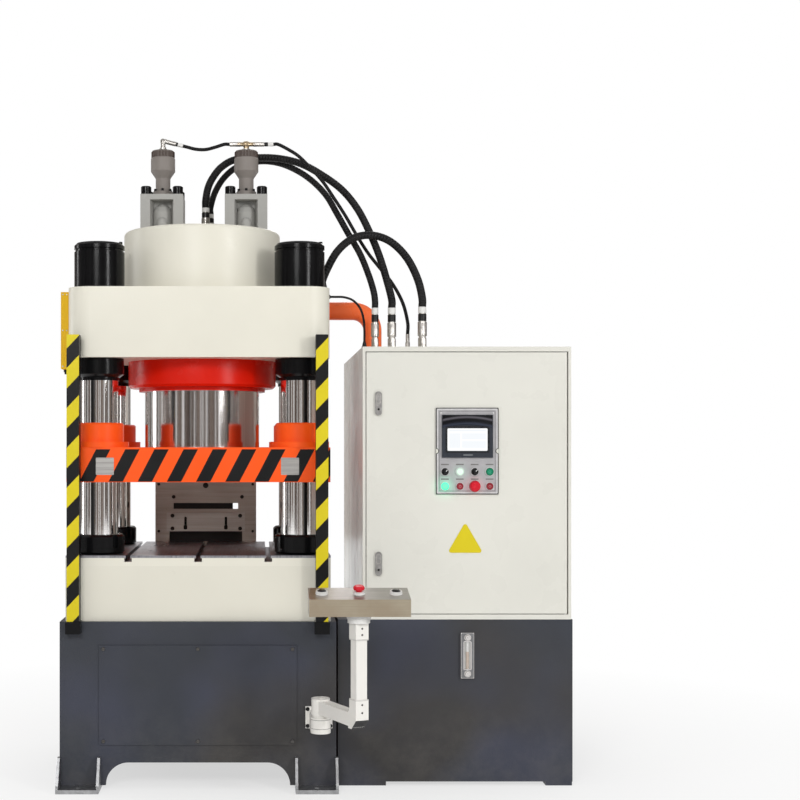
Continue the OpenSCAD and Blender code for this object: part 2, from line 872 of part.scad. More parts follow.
// Bottle-shaped heads: flange, neck, flare, body and a narrower cap
module valve_heads() {
    neck_r = valve_neck_dia / 2;
    r = valve_head_dia / 2;
    z0 = valve_top;
    z1 = valve_top + valve_head_h;
    flange_r = 41;
    flange_h = 22;
    screw_r = neck_r + 5.5;
    color([0.66, 0.61, 0.59]) at_valves() {
        rotate_extrude() polygon([
            [0, z0], [flange_r, z0], [flange_r, z0 + flange_h - 2], [flange_r - 2, z0 + flange_h],
            [neck_r, z0 + flange_h], [neck_r, z0 + 74], [neck_r + 3, z0 + 80], [r, z0 + 104],
            [r, z1 - 32], [r - 3, z1 - 28], [r - 3, z1 - 3], [r - 6, z1], [0, z1]
        ]);
        // Screws of the flange
        for (turn = [0:60:300]) rotate([0, 0, turn]) translate([0, -screw_r, z0 + flange_h - eps])
            cylinder(r = 4.5, h = 9 + eps, $fn = 12);
    }
}

// ---- Hoses and fittings ----

function unit(v) = v / norm(v);
function along(path, i) = unit(path[min(i + 1, len(path) - 1)] - path[max(i - 1, 0)]);

// The points of one ring round a route, square to it
function ring(path, i, r, sides) =
    let (u = unit(cross(along(path, i), [0, 1, 0])), v = cross(along(path, i), u))
    [for (k = [0:sides - 1])
        path[i] + r * (cos(360 * k / sides) * u + sin(360 * k / sides) * v)];

// A tube swept along a route, with a flat face at each end
module swept_tube(path, dia, sides = 8) {
    n = len(path);
    walls = [for (i = [0:n - 2], k = [0:sides - 1]) [
        i * sides + k, i * sides + (k + 1) % sides,
        (i + 1) * sides + (k + 1) % sides, (i + 1) * sides + k
    ]];
    start = [for (k = [sides - 1:-1:0]) k];
    finish = [for (k = [0:sides - 1]) (n - 1) * sides + k];
    polyhedron([for (i = [0:n - 1]) each ring(path, i, dia / 2, sides)],
        concat([start], walls, [finish]));
}

module pressure_hose_1() {
    color(black) swept_tube(pressure_path_1, hose_dia[0]);
}

module pressure_hose_2() {
    color(black) swept_tube(pressure_path_2, hose_dia[1]);
}

module pressure_hose_3() {
    color(black) swept_tube(pressure_path_3, hose_dia[2]);
}

module pilot_hose_long() {
    color(black) swept_tube(pilot_path_long, pilot_dia);
}

module pilot_hose_short() {
    color(black) swept_tube(pilot_path_short, pilot_dia);
}

module sensor_cable() {
    color(black) swept_tube(cable_path, cable_dia);
}

// A hose end of height h: nut, groove, barrel, ring and sleeve, one above the other
module hose_tail(dia, h) {
    steps = [0, 0.26, 0.3, 0.64, 0.66, 0.83, 0.85, 1];
    reach = [2.5, -1, 2.5, -1, 1, -1, 0.5];
    cylinder(r = dia / 2 - 2, h = h);
    for (i = [0:len(reach) - 1]) translate([0, 0, steps[i] * h])
        cylinder(r = dia / 2 + reach[i], h = (steps[i + 1] - steps[i]) * h);
}

// Its children with +Z along a route's first step, ending where the route begins
module behind(path) {
    u = unit(path[1] - path[0]);
    translate(path[0]) rotate([0, acos(u[2]), atan2(u[1], u[0])]) mirror([0, 0, 1]) children();
}

module crown_fittings() {
    elbow_r = 11;
    head_top = valve_top + valve_head_h;
    x = [for (side = [-1, 1]) valve_shift + side * valve_span / 2];
    color(steel) {
        for (i = [0, 1]) translate([cylinder_port[i][0], cylinder_port[i][1], cylinder_top])
            hose_tail(hose_dia[i], cylinder_fitting_h[i]);
        translate([crown_port[0], crown_port[1], crown_top])
            cylinder(d = hose_dia[2] + 5, h = crown_fitting_h);
        translate(cable_port) rotate([0, 90, 0])
            cylinder(d = cable_dia + 11, h = cable_path[0][0] - cable_port[0], $fn = 6);
    }
    // Elbow on the left head, tee on the right head, each on a hexagon
    color([0.75, 0.62, 0.35]) {
        for (i = [0, 1]) translate([x[i], 0, head_top]) {
            cylinder(d = 34, h = 10, $fn = 6);
            cylinder(r = elbow_r, h = [elbow_z, pilot_z][i] - head_top);
        }
        translate([x[0], 0, elbow_z]) sphere(elbow_r);
        translate([x[1], 0, pilot_z]) sphere(elbow_r + 2);
        behind(pilot_path_short) {
            cylinder(d = pilot_dia + 2, h = 24);
            cylinder(r = 6, h = norm([pilot_path_short[0][0] - x[0], pilot_path_short[0][2] - elbow_z]));
            translate([0, 0, 30]) cylinder(d = pilot_dia + 5, h = 34, $fn = 6);
        }
        translate([pilot_path_short[len(pilot_path_short) - 1][0], 0, pilot_z]) rotate([0, 90, 0]) {
            cylinder(r = 6, h = pilot_path_long[0][0] - pilot_path_short[len(pilot_path_short) - 1][0]);
            cylinder(d = pilot_dia + 4, h = 46, $fn = 6);
        }
        behind(pilot_path_long) {
            cylinder(d = pilot_dia + 2, h = 22);
            translate([0, 0, 23]) cylinder(d = pilot_dia + 3, h = 14);
            translate([0, 0, 38]) cylinder(d = pilot_dia + 4, h = 46, $fn = 6);
        }
    }
}

module cabinet_fittings() {
    color(steel) {
        for (i = [0, 1, 3]) translate([cabinet_port[i][0], cabinet_port[i][1], cab_top_z])
            hose_tail(hose_dia[min(i, 2)], cabinet_fitting_h);
        translate([cabinet_port[2][0], cabinet_port[2][1], cab_top_z]) {
            cylinder(d = pilot_dia + 4, h = 0.5 * pilot_fitting_h, $fn = 6);
            cylinder(d = pilot_dia + 1, h = pilot_fitting_h);
        }
        translate([cable_gland[0], cable_gland[1], cab_top_z])
            cylinder(d = cable_dia + 13, h = cable_gland_h);
    }
}

// Flanged return pipe from the crown to the cabinet top
module return_pipe() {
    pipe_r = 38;
    wall = 4;
    bend_r = 85;
    start = [beam_w / 2, 200, crown_top - 40];
    drop_x = cab_x0 + 82;
    flange_r = 60;
    flange_t = 16;
    run = drop_x - bend_r - start[0];
    drop = start[2] - bend_r - cab_top_z;
    color([0.9, 0.3, 0.1]) difference() {
        union() {
            translate(start) rotate([0, 90, 0]) cylinder(r = pipe_r, h = run);
            translate(start) rotate([0, 90, 0]) cylinder(r = flange_r, h = flange_t);
            translate([drop_x - bend_r, start[1], start[2] - bend_r]) rotate([90, 0, 0])
                rotate_extrude(angle = 90) translate([bend_r, 0]) circle(pipe_r);
            translate([drop_x, start[1], cab_top_z]) cylinder(r = pipe_r, h = drop);
            translate([drop_x, start[1], cab_top_z]) cylinder(r = flange_r, h = flange_t);
        }
        translate([start[0] - eps, start[1], start[2]]) rotate([0, 90, 0])
            cylinder(r = pipe_r - wall, h = run + eps);
        translate([drop_x - bend_r, start[1], start[2] - bend_r]) rotate([90, 0, 0])
            rotate_extrude(angle = 90) translate([bend_r, 0]) circle(pipe_r - wall);
        translate([drop_x, start[1], cab_top_z - eps]) cylinder(r = pipe_r - wall, h = drop + eps);
    }
}

// ---- Tank and cabinet ----

// Oil tank on two skids, with an opening in its top under the cabinet
module oil_tank() {
    x1 = tank_x0 + tank_w;
    left_skid_w = 184;
    right_skid_w = 101;
    skid_inset = 2;
    color(dark_blue) difference() {
        union() {
            block([tank_x0, cab_front, foot_t], [x1, cab_back, tank_top_z]);
            block([tank_x0, cab_front, 0], [tank_x0 + left_skid_w, cab_back, foot_t]);
            block([x1 - skid_inset - right_skid_w, cab_front, 0], [x1 - skid_inset, cab_back, foot_t]);
        }
        block([tank_x0 + tank_wall, cab_front + tank_wall, foot_t + tank_wall],
            [x1 - tank_wall, cab_back - tank_wall, tank_top_z - tank_wall]);
        pump_opening(tank_top_z - tank_wall, tank_top_z);
    }
}

// The opening for the pump, between two levels
module pump_opening(low, high) {
    block([pump_hole[0][0], pump_hole[0][1], low - eps], [pump_hole[1][0], pump_hole[1][1], high + eps]);
}

// Glass level gauge with a banjo bolt at each end
module level_gauge() {
    depth = 14;
    x = panel_x;
    z = tank_top_z - 137;
    slot_w = gauge_w - 24;
    slot_h = gauge_h - 70;
    bolt_z = gauge_h / 2 - 18;
    color(chrome) translate([x, cab_front, z]) {
        difference() {
            block([-gauge_w / 2, -depth, -gauge_h / 2], [gauge_w / 2, 0, gauge_h / 2]);
            block([-slot_w / 2, -depth - eps, -slot_h / 2], [slot_w / 2, 6 - depth, slot_h / 2]);
        }
        for (side = [-1, 1]) translate([0, 0, side * bolt_z]) {
            rod_y(13, -depth - 5, -depth);
            rod_y(8, -depth - 9, -depth);
        }
    }
}

// The doorway through the cabinet front
module doorway(gap) {
    block([door_x0 - gap, cab_front - eps, door_z0 - gap],
        [door_x1 + gap, cab_front + door_t + eps, door_z1 + gap]);
}

// Its children at the upper hinge pin, and mirrored at the lower one
module at_hinge_ends() {
    translate([hinge_x, hinge_y, door_z1]) children();
    translate([hinge_x, hinge_y, door_z0]) mirror([0, 0, 1]) children();
}

module cabinet_shell() {
    color(cream) difference() {
        block([cab_x0, cab_front, tank_top_z], [cab_x1, cab_back, cab_top_z]);
        block([cab_x0 + cab_sheet, cab_front + door_t, tank_top_z + cab_sheet],
            [cab_x1 - cab_sheet, cab_back - cab_sheet, cab_top_z - cab_sheet]);
        doorway(door_gap);
        pump_opening(tank_top_z, tank_top_z + cab_sheet);
        at_hinge_ends() cylinder(r = hinge_pin_r + seat_gap, h = door_gap + 14);
    }
}

module door_hinges() {
    color(steel) at_hinge_ends() translate([0, 0, -hinge_pin_grip])
        cylinder(r = hinge_pin_r, h = hinge_pin_grip + door_gap + 13.5);
}

// Pan-shaped door with a rounded hinge edge, and holes for what it carries
module door() {
    back = cab_front + door_t;
    skin = cab_front + door_sheet;
    color(cream) difference() {
        union() {
            block([door_x0, cab_front, door_z0], [hinge_x, back, door_z1]);
            block([hinge_x - eps, hinge_y, door_z0], [door_x1, back, door_z1]);
            translate([hinge_x, hinge_y, door_z0]) cylinder(r = hinge_inset, h = door_z1 - door_z0);
        }
        block([door_x0 + door_rim, skin, door_z0 + door_rim],
            [hinge_x - door_rim, back + eps, door_z1 - door_rim]);
        at_hinge_ends() translate([0, 0, -hinge_pin_grip - face_gap])
            cylinder(r = hinge_pin_r + run_gap, h = hinge_pin_grip + face_gap + eps);
        for (z = latch_z) translate([latch_x, 0, z])
            rod_y(latch_pin_r + run_gap, cab_front - eps, back + eps);
        panel_holes(cab_front - eps, skin + eps);
    }
}

// A place on the control panel: column 0 to 3 from the left, row 0 above row 1
module at_control(column, row) {
    translate([panel_x + (column - 1.5) * button_pitch, 0, panel_z - row_drop[row]]) children();
}

// Holes for the eight controls and the screen, between two depths
module panel_holes(front, back) {
    for (column = [0:3], row = [0, 1]) at_control(column, row) rod_y(button_hole_r, front, back);
    translate([panel_x, 0, panel_z + hmi_rise])
        block([-hmi_body[0] / 2 - seat_gap, front, -hmi_body[1] / 2 - seat_gap],
            [hmi_body[0] / 2 + seat_gap, back, hmi_body[1] / 2 + seat_gap]);
}

// Plate with a pair of finger notches and a raised ring for each control
module control_panel_frame() {
    notch_r = 9;
    color(silver) difference() {
        union() {
            translate([panel_x, 0, panel_z])
                block([-panel_w / 2, panel_front, -panel_h / 2], [panel_w / 2, cab_front, panel_h / 2]);
            for (column = [0:3], row = [0, 1]) at_control(column, row)
                rod_y(button_ring_dia / 2, ring_front, cab_front);
        }
        panel_holes(ring_front - eps, cab_front + eps);
        for (side = [-1, 1]) translate([panel_x + side * panel_w / 2, 0, panel_z])
            rod_y(notch_r, panel_front - eps, cab_front + eps);
    }
}

module touch_screen() {
    bezel_z = 37;
    bezel_x = 19;
    body_back = cab_front + 14;
    color(dark_steel) translate([panel_x, 0, panel_z + hmi_rise]) difference() {
        union() {
            block([-hmi_w / 2, panel_front - hmi_t, -hmi_h / 2], [hmi_w / 2, panel_front, hmi_h / 2]);
            block([-hmi_body[0] / 2, panel_front - eps, -hmi_body[1] / 2],
                [hmi_body[0] / 2, body_back, hmi_body[1] / 2]);
        }
        block([bezel_x - hmi_w / 2, panel_front - hmi_t - eps, bezel_z - hmi_h / 2],
            [hmi_w / 2 - bezel_x, panel_front - hmi_t + 1.5, hmi_h / 2 - bezel_z]);
    }
}

// A turned button along Y: cap in front of its ring, body behind the door sheet
module push_button(column, row, proud) {
    at_control(column, row)
        rod_y(button_cap_dia / 2, ring_front - proud, cab_front + door_sheet + button_reach - 4);
}

module pilot_lamp() {
    color("honeydew") push_button(1, 0, 3);
}

// Selector: a round body with a grip bar across it
module selector(column) {
    grip_w = 8;
    grip_h = 15;
    color(black) at_control(column, 0) {
        rod_y(button_cap_dia / 2, ring_front - 2, cab_front + door_sheet + button_reach - 4);
        block([-grip_w / 2, ring_front - 2 - grip_h, -button_cap_dia / 2],
            [grip_w / 2, ring_front - 1, button_cap_dia / 2]);
    }
}

module selector_1() {
    selector(0);
}

module selector_2() {
    selector(2);
}

module green_button() {
    color(button_green) push_button(3, 0, button_proud);
}

module lit_green_button() {
    color([0.3, 0.9, 0.45]) push_button(0, 1, button_proud);
}

module red_button_1() {
    color(button_red) push_button(1, 1, button_proud);
}

module red_button_2() {
    color(button_red) push_button(3, 1, button_proud);
}

// Mushroom head, turned about Z with its stem downwards from the origin
module mushroom(stem_l) {
    lift = estop_travel + 1;
    head_h = 14;
    r = estop_dia / 2;
    rotate_extrude() polygon([
        [0, -stem_l], [estop_stem_r, -stem_l], [estop_stem_r, lift], [r - 2, lift],
        [r, lift + 3], [r, lift + head_h - 5], [r - 5, lift + head_h], [0, lift + head_h]
    ]);
}

module panel_estop() {
    color(button_red) at_control(2, 1) translate([0, ring_front, 0]) rotate([90, 0, 0])
        mushroom(ring_h + panel_t + door_sheet + 6);
}

// Oval quarter-turn latch with a key boss and a spindle through the door
module latch(z) {
    plate_t = 9;
    r = latch_w / 2;
    color(chrome) translate([latch_x, 0, z]) {
        rotate([90, 0, 0]) translate([0, 0, face_gap - cab_front]) linear_extrude(plate_t) {
            square([latch_w, latch_h - latch_w], center = true);
            for (side = [-1, 1]) translate([0, side * (latch_h - latch_w) / 2]) circle(r);
        }
        translate([0, 0, -latch_h / 4]) rod_y(8, cab_front - plate_t - 3, cab_front - plate_t);
        rod_y(latch_pin_r, cab_front - plate_t, cab_front + door_sheet + 8);
    }
}

module latch_upper() {
    latch(latch_z[0]);
}

module latch_lower() {
    latch(latch_z[1]);
}

// ---- Inside the cabinet ----

// Back plate on stand-offs, with rails of switchgear
module mounting_panel() {
    plate_t = 4;
    stand = 30;
    back = cab_back - cab_sheet;
    front = back - stand - plate_t;
    side_inset = 70;
    low = [cab_x0 + side_inset, tank_top_z + 120];
    high = [cab_x1 - side_inset, cab_top_z - 80];
    rails = 3;
    rail_pitch = (high[1] - low[1]) / rails;
    color(silver) {
        block([low[0], front, low[1]], [high[0], front + plate_t, high[1]]);
        for (x = [low[0] + 25, high[0] - 25], z = [low[1] + 25, high[1] - 25])
            translate([x, 0, z]) rod_y(8, front + plate_t - eps, back);
        for (i = [0:rails - 1]) {
            z = low[1] + (i + 0.5) * rail_pitch;
            block([low[0] + 30, front - 8, z - 18], [high[0] - 30, front + eps, z + 18]);
            for (x = [low[0] + 50:90:high[0] - 130])
                block([x, front - 78, z - 45], [x + 72, front - 7, z + 45]);
        }
    }
}

// Vertical electric motor on a flange plate, with the pump hanging in the tank
module pump_motor() {
    floor_z = tank_top_z + cab_sheet;
    plate_t = 12;
    lap = 30;
    x = (pump_hole[0][0] + pump_hole[1][0]) / 2 + 70;
    y = (pump_hole[0][1] + pump_hole[1][1]) / 2;
    bell_r = 100;
    bell_h = 110;
    motor_r = 125;
    motor_h = 340;
    fins = 7;
    fin_pitch = 36;
    pump_r = 62;
    pump_l = 220;
    suction_r = 20;
    suction_x = 40;
    suction_l = 480;
    color(steel) {
        block([pump_hole[0][0] - lap, pump_hole[0][1] - lap, floor_z],
            [pump_hole[1][0] + lap, pump_hole[1][1] + lap, floor_z + plate_t]);
        translate([x, y, 0]) {
            turned_disc(bell_r, floor_z + plate_t - eps, floor_z + plate_t + bell_h, 4);
            turned_disc(motor_r, floor_z + plate_t + bell_h - eps, floor_z + bell_h + motor_h, 10);
            for (i = [1:fins]) translate([0, 0, floor_z + bell_h + i * fin_pitch])
                cylinder(r = motor_r + 12, h = 10);
            cylinder_between(pump_r, floor_z - pump_l, floor_z + eps);
            translate([suction_x, 0, 0])
                cylinder_between(suction_r, floor_z - suction_l, floor_z - pump_l + 20);
        }
    }
}

// Drilled block with two solenoid valves, standing on the pump's flange plate
module valve_manifold() {
    x = pump_hole[0][0] + 85;
    y = (pump_hole[0][1] + pump_hole[1][1]) / 2;
    z = tank_top_z + cab_sheet + 12;
    w = 130;
    d = 180;
    h = 150;
    valve_pitch = 90;
    valve_rise = 26;
    coil_l = 156;
    color([0.6, 0.6, 0.62]) translate([x, y, z]) {
        block([-w / 2, -d / 2, 0], [w / 2, d / 2, h]);
        for (side = [-1, 1]) translate([0, side * valve_pitch / 2, h + valve_rise]) {
            block([-40, -30, -valve_rise - eps], [40, 30, 30]);
            rotate([0, 90, 0]) translate([0, 0, -coil_l / 2]) cylinder(r = 24, h = coil_l);
        }
    }
}

// ---- Console ----

// Its children in a frame at the arm's fixed pivot, with -Y along the arm
module along_arm() {
    translate([bracket_x, arm_pivot_y, 0]) rotate([0, 0, arm_angle]) children();
}

// Wall plate, boxed housing and pivot post with the arm's pin
module console_bracket() {
    plate_w = 102;
    plate_h = 82;
    plate_t = 10;
    housing_w = 74;
    housing_h = 58;
    back = -base_d / 2;
    screw_x = plate_w / 2 - 8;
    screw_z = plate_h / 2 - 9;
    color(white) difference() {
        union() {
            translate([bracket_x, 0, bracket_z]) {
                block([-plate_w / 2, back - plate_t, -plate_h / 2], [plate_w / 2, back, plate_h / 2]);
                block([-housing_w / 2, arm_pivot_y, -housing_h / 2],
                    [housing_w / 2, back - plate_t + eps, housing_h / 2]);
            }
            translate([bracket_x, arm_pivot_y, 0]) {
                translate([0, 0, bracket_z - housing_h / 2])
                    cylinder(d = housing_w, h = housing_h);
                cylinder_between(arm_hub_r - 3, bracket_z, arm_bottom - arm_hub_lap - face_gap);
                cylinder_between(pivot_pin_r, bracket_z, arm_top + arm_hub_lap - 4);
            }
        }
        // Counterbored holes for the four wall screws
        for (x = [-screw_x, screw_x], z = [-screw_z, screw_z]) translate([bracket_x + x, 0, bracket_z + z]) {
            rod_y(3, back - plate_t - eps, back + eps);
            rod_y(5, back - plate_t - eps, back - plate_t + 4);
        }
    }
}

// The elbow's side outline, along the arm and up: a bevelled heel and a socket for the riser
module elbow_outline() {
    half = socket_w / 2;
    bevel = 34;
    polygon([
        [-half, elbow_foot + bevel], [-half + bevel, elbow_foot], [half + 8, elbow_foot],
        [half + 8, arm_top + 4], [half, arm_top + 12], [half, elbow_foot + elbow_h],
        [-half, elbow_foot + elbow_h]
    ]);
}

// Boxed arm with a bored hub at one end and an elbow that holds the riser at the other
module console_arm() {
    color(white) along_arm() difference() {
        union() {
            cylinder_between(arm_hub_r, arm_bottom - arm_hub_lap, arm_top + arm_hub_lap);
            block([-arm_w / 2, -arm_l, arm_bottom], [arm_w / 2, 0, arm_top]);
            translate([-socket_w / 2, -arm_l, 0]) rotate([90, 0, 90]) linear_extrude(socket_w)
                elbow_outline();
        }
        cylinder_between(pivot_pin_r + run_gap, arm_bottom - arm_hub_lap - eps, arm_top + arm_hub_lap + eps);
        translate([0, -arm_l, arm_top]) linear_extrude(elbow_h)
            square(riser_w + 2 * seat_gap, center = true);
    }
}

// Square riser tube with a socket at its head and the console's hollow pin above it
module console_riser() {
    socket_h = 55;
    head_t = 8;
    color(white) along_arm() translate([0, -arm_l, 0]) difference() {
        union() {
            translate([0, 0, arm_top]) linear_extrude(riser_head - arm_top) square(riser_w, center = true);
            translate([0, 0, riser_head - socket_h]) linear_extrude(socket_h)
                square(socket_w, center = true);
            cylinder_between(pivot_pin_r, riser_head - eps, console_z + console_sheet + 8);
        }
        translate([0, 0, arm_top - eps]) linear_extrude(riser_head - head_t - arm_top + eps)
            square(riser_w - 2 * riser_wall, center = true);
        cylinder_between(pivot_pin_r - 4, riser_head - head_t - eps, console_z + console_sheet + 8 + eps);
    }
}

// The console's cross-section: a low front edge, a high back edge and a sloping top
module console_section(inset) {
    half = console_d / 2 - inset;
    drop = inset / cos(console_slope);
    lean = inset * tan(console_slope);
    polygon([
        [-half, inset], [half, inset], [half, console_back_h - drop - lean],
        [-half, console_front_h - drop + lean]
    ]);
}

// Its children on the console's sloping top at a distance from its middle, square to the top
module on_console(x) {
    middle_h = (console_front_h + console_back_h) / 2;
    translate([elbow_x + x, elbow_y, console_z + middle_h]) rotate([console_slope, 0, 0]) children();
}

// Folded shell with three raised rings and the riser's collar below
module console_box() {
    open_w = console_w - 2 * console_sheet;
    color(stainless) difference() {
        union() {
            difference() {
                translate([elbow_x - console_w / 2, elbow_y, console_z]) rotate([90, 0, 90])
                    linear_extrude(console_w) console_section(0);
                translate([elbow_x - open_w / 2, elbow_y, console_z]) rotate([90, 0, 90])
                    linear_extrude(open_w) console_section(console_sheet);
            }
            for (x = [-palm_x, palm_x]) on_console(x) translate([0, 0, -console_sheet])
                cylinder(d = palm_dia, h = palm_ring_h + console_sheet);
            on_console(0) translate([0, 0, -console_sheet])
                cylinder(d = estop_dia, h = estop_collar_h + console_sheet);
            translate([elbow_x, elbow_y, console_z - console_collar_h])
                cylinder(d = collar_dia, h = console_collar_h + 1);
        }
        for (x = [-palm_x, palm_x]) on_console(x) translate([0, 0, -2 * console_sheet])
            cylinder(r = palm_r + run_gap, h = palm_ring_h + 3 * console_sheet);
        on_console(0) translate([0, 0, -2 * console_sheet])
            cylinder(r = estop_stem_r + run_gap, h = estop_collar_h + 3 * console_sheet);
        // Bore for the riser's pin through the collar and the floor
        translate([elbow_x, elbow_y, 0]) cylinder_between(
            pivot_pin_r + run_gap, console_z - console_collar_h - eps, console_z + console_sheet + eps);
    }
}

// Domed palm button in its ring
module palm_button(x) {
    proud = 4;
    color(black) on_console(x) rotate_extrude() polygon([
        [0, -25], [palm_r, -25], [palm_r, palm_ring_h + proud - 4],
        [palm_r - 5, palm_ring_h + proud - 1], [0, palm_ring_h + proud]
    ]);
}

module palm_button_left() {
    palm_button(-palm_x);
}

module palm_button_right() {
    palm_button(palm_x);
}

module console_estop() {
    color(button_red) on_console(0) translate([0, 0, estop_collar_h]) mushroom(estop_collar_h + 14);
}

// ---- Feed gate ----

// Gate plate on the bed's rear face, with the shutter's headed studs
module gate_frame() {
    back = gate_front + gate_t;
    shutter_front = gate_front - face_gap - shutter_t;
    color([0.45, 0.42, 0.38]) {
        difference() {
            block([-gate_w / 2, gate_front, gate_foot], [gate_w / 2, back, gate_top_z]);
            block([-gate_open_w / 2, gate_front - eps, table_top],
                [gate_open_w / 2, back + eps, table_top + gate_open_h]);
            block([-feed_slot_w / 2, gate_front - eps, feed_slot_z],
                [feed_slot_w / 2, back + eps, feed_slot_z + feed_slot_h]);
        }
        for (side = [-1, 1]) translate([side * stud_x, 0, stud_z]) {
            rod_y(stud_r, shutter_front - face_gap - 1, gate_front + 1);
            rod_y(stud_head_r, shutter_front - face_gap - stud_head_t, shutter_front - face_gap);
        }
    }
}

// Sliding shutter with an upright slot for each stud
module gate_shutter() {
    back = gate_front - face_gap;
    slot_r = shutter_slot_w / 2;
    color([0.45, 0.42, 0.38]) difference() {
        block([-shutter_w / 2, back - shutter_t, shutter_foot], [shutter_w / 2, back, shutter_foot + shutter_h]);
        for (side = [-1, 1]) translate([side * stud_x, 0, stud_z]) {
            for (z = [0, shutter_travel]) translate([0, 0, z]) rod_y(slot_r, back - shutter_t - eps, back + eps);
            block([-slot_r, back - shutter_t - eps, 0], [slot_r, back + eps, shutter_travel]);
        }
    }
}

base_frame();
base_access_panel();
panel_screws();
anchor_feet();
lower_beam();
table_plate();
columns();
column_lower_nuts();
column_collars();
column_cap_nuts();
crown();
main_cylinder();
gland_ring();
slide();
ram();
guide_bushes();
safety_posts();
post_brackets();
side_junction_box();
prefill_valves();
valve_heads();
valve_cap_screws();
crown_fittings();
cabinet_fittings();
pressure_hose_1();
pressure_hose_2();
pressure_hose_3();
pilot_hose_long();
pilot_hose_short();
sensor_cable();
return_pipe();
oil_tank();
level_gauge();
cabinet_shell();
mounting_panel();
pump_motor();
valve_manifold();
door();
door_hinges();
control_panel_frame();
touch_screen();
pilot_lamp();
selector_1();
selector_2();
green_button();
lit_green_button();
red_button_1();
red_button_2();
panel_estop();
latch_upper();
latch_lower();
console_bracket();
console_arm();
console_riser();
console_box();
palm_button_left();
palm_button_right();
console_estop();
gate_frame();
gate_shutter();
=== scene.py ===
"""Dresses a four-column hydraulic press: finishes, hoses, fittings, controls and stage."""

import math
from itertools import product

import bpy
import numpy as np
from bpy.props import FloatProperty, FloatVectorProperty, IntProperty, PointerProperty
from bpy.types import Operator, Panel, PropertyGroup
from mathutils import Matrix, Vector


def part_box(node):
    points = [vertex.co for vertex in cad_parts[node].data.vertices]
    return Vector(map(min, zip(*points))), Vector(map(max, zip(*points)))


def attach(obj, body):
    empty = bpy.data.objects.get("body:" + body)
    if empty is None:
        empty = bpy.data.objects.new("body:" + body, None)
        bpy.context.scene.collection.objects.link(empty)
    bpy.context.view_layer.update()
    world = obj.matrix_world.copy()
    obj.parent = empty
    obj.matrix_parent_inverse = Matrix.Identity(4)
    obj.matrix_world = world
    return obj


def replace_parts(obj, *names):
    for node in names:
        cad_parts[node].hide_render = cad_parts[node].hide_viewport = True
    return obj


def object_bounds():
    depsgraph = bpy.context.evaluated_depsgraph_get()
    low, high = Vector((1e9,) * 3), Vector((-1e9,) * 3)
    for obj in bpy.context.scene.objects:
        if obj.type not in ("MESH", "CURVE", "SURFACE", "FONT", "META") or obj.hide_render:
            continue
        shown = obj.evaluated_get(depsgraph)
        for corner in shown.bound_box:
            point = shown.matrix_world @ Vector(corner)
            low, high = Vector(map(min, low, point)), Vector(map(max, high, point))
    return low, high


bl_info = {
    "name": "Four-column press dresser",
    "version": (1, 0, 0),
    "blender": (4, 5, 0),
    "location": "View3D > Sidebar > Press",
    "description": "Finishes, hoses, fittings, controls and stage for a four-column hydraulic press",
    "category": "Object",
}

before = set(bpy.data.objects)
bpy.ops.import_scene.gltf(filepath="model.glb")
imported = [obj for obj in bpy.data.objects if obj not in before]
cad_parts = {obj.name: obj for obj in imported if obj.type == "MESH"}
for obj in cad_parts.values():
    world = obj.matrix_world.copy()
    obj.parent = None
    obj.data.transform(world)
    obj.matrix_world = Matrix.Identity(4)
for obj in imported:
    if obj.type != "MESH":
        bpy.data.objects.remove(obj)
cad_low, cad_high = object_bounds()

SIDES = (-1, 1)
SKIN = 0.0006  # how far behind a face a point still counts as on it
GATE_PLATE = 0.012  # thickness of the gate's plate


# ---- Settings ------------------------------------------------------------------------------------


def colour_setting(name, description, default):
    """A linear colour property with a picker."""
    return FloatVectorProperty(
        name=name, description=description, default=default, subtype="COLOR", size=3, min=0.0, max=1.0
    )


def length_setting(name, default, description="Outer diameter"):
    """A length property in metres."""
    return FloatProperty(
        name=name, description=description, default=default, min=0.0, subtype="DISTANCE", unit="LENGTH"
    )


def power_setting(name, description, default):
    """A light's power in watts."""
    return FloatProperty(name=name, description=description, default=default, min=0.0, unit="POWER")


class PaintSettings(PropertyGroup):
    """Linear colours of the press's paints."""

    cream: colour_setting("Cream", "Enamel of the crown and the bed", (0.735, 0.71, 0.615))
    cabinet: colour_setting("Cabinet", "Enamel of the control cabinet and its door", (0.70, 0.69, 0.63))
    navy: colour_setting("Dark grey", "Enamel of the base and tank", (0.043, 0.047, 0.058))
    orange: colour_setting("Orange", "Enamel of the slide and its bushes", (0.95, 0.095, 0.006))
    gland: colour_setting("Gland red", "Enamel of the gland ring", (0.66, 0.012, 0.003))
    pipe: colour_setting("Pipe orange", "Enamel of the return pipe", (0.95, 0.165, 0.045))
    yellow: colour_setting("Safety yellow", "Yellow of the posts", (0.66, 0.54, 0.012))
    amber: colour_setting("Amber", "Enamel of the side box", (0.74, 0.44, 0.016))
    black: colour_setting("Black", "Black of the nuts, stripes and straps", (0.0045, 0.0045, 0.005))
    white: colour_setting("White", "Powder coat of the console arm", (0.80, 0.78, 0.74))
    valve: colour_setting("Valve grey", "Casting paint of the valve blocks", (0.37, 0.365, 0.345))
    head: colour_setting("Valve head grey", "Casting paint of the valve heads", (0.235, 0.21, 0.192))


class HoseSettings(PropertyGroup):
    """Outer diameters of the hoses and the cable."""

    pressure_1: length_setting("First pressure hose", 0.026)
    pressure_2: length_setting("Second pressure hose", 0.030)
    pressure_3: length_setting("Third pressure hose", 0.031)
    pilot: length_setting("Pilot hoses", 0.014)
    cable: length_setting("Sensor cable", 0.009)
    steps: IntProperty(
        name="Steps", description="Rings between two points of a route", default=8, min=2, max=24
    )


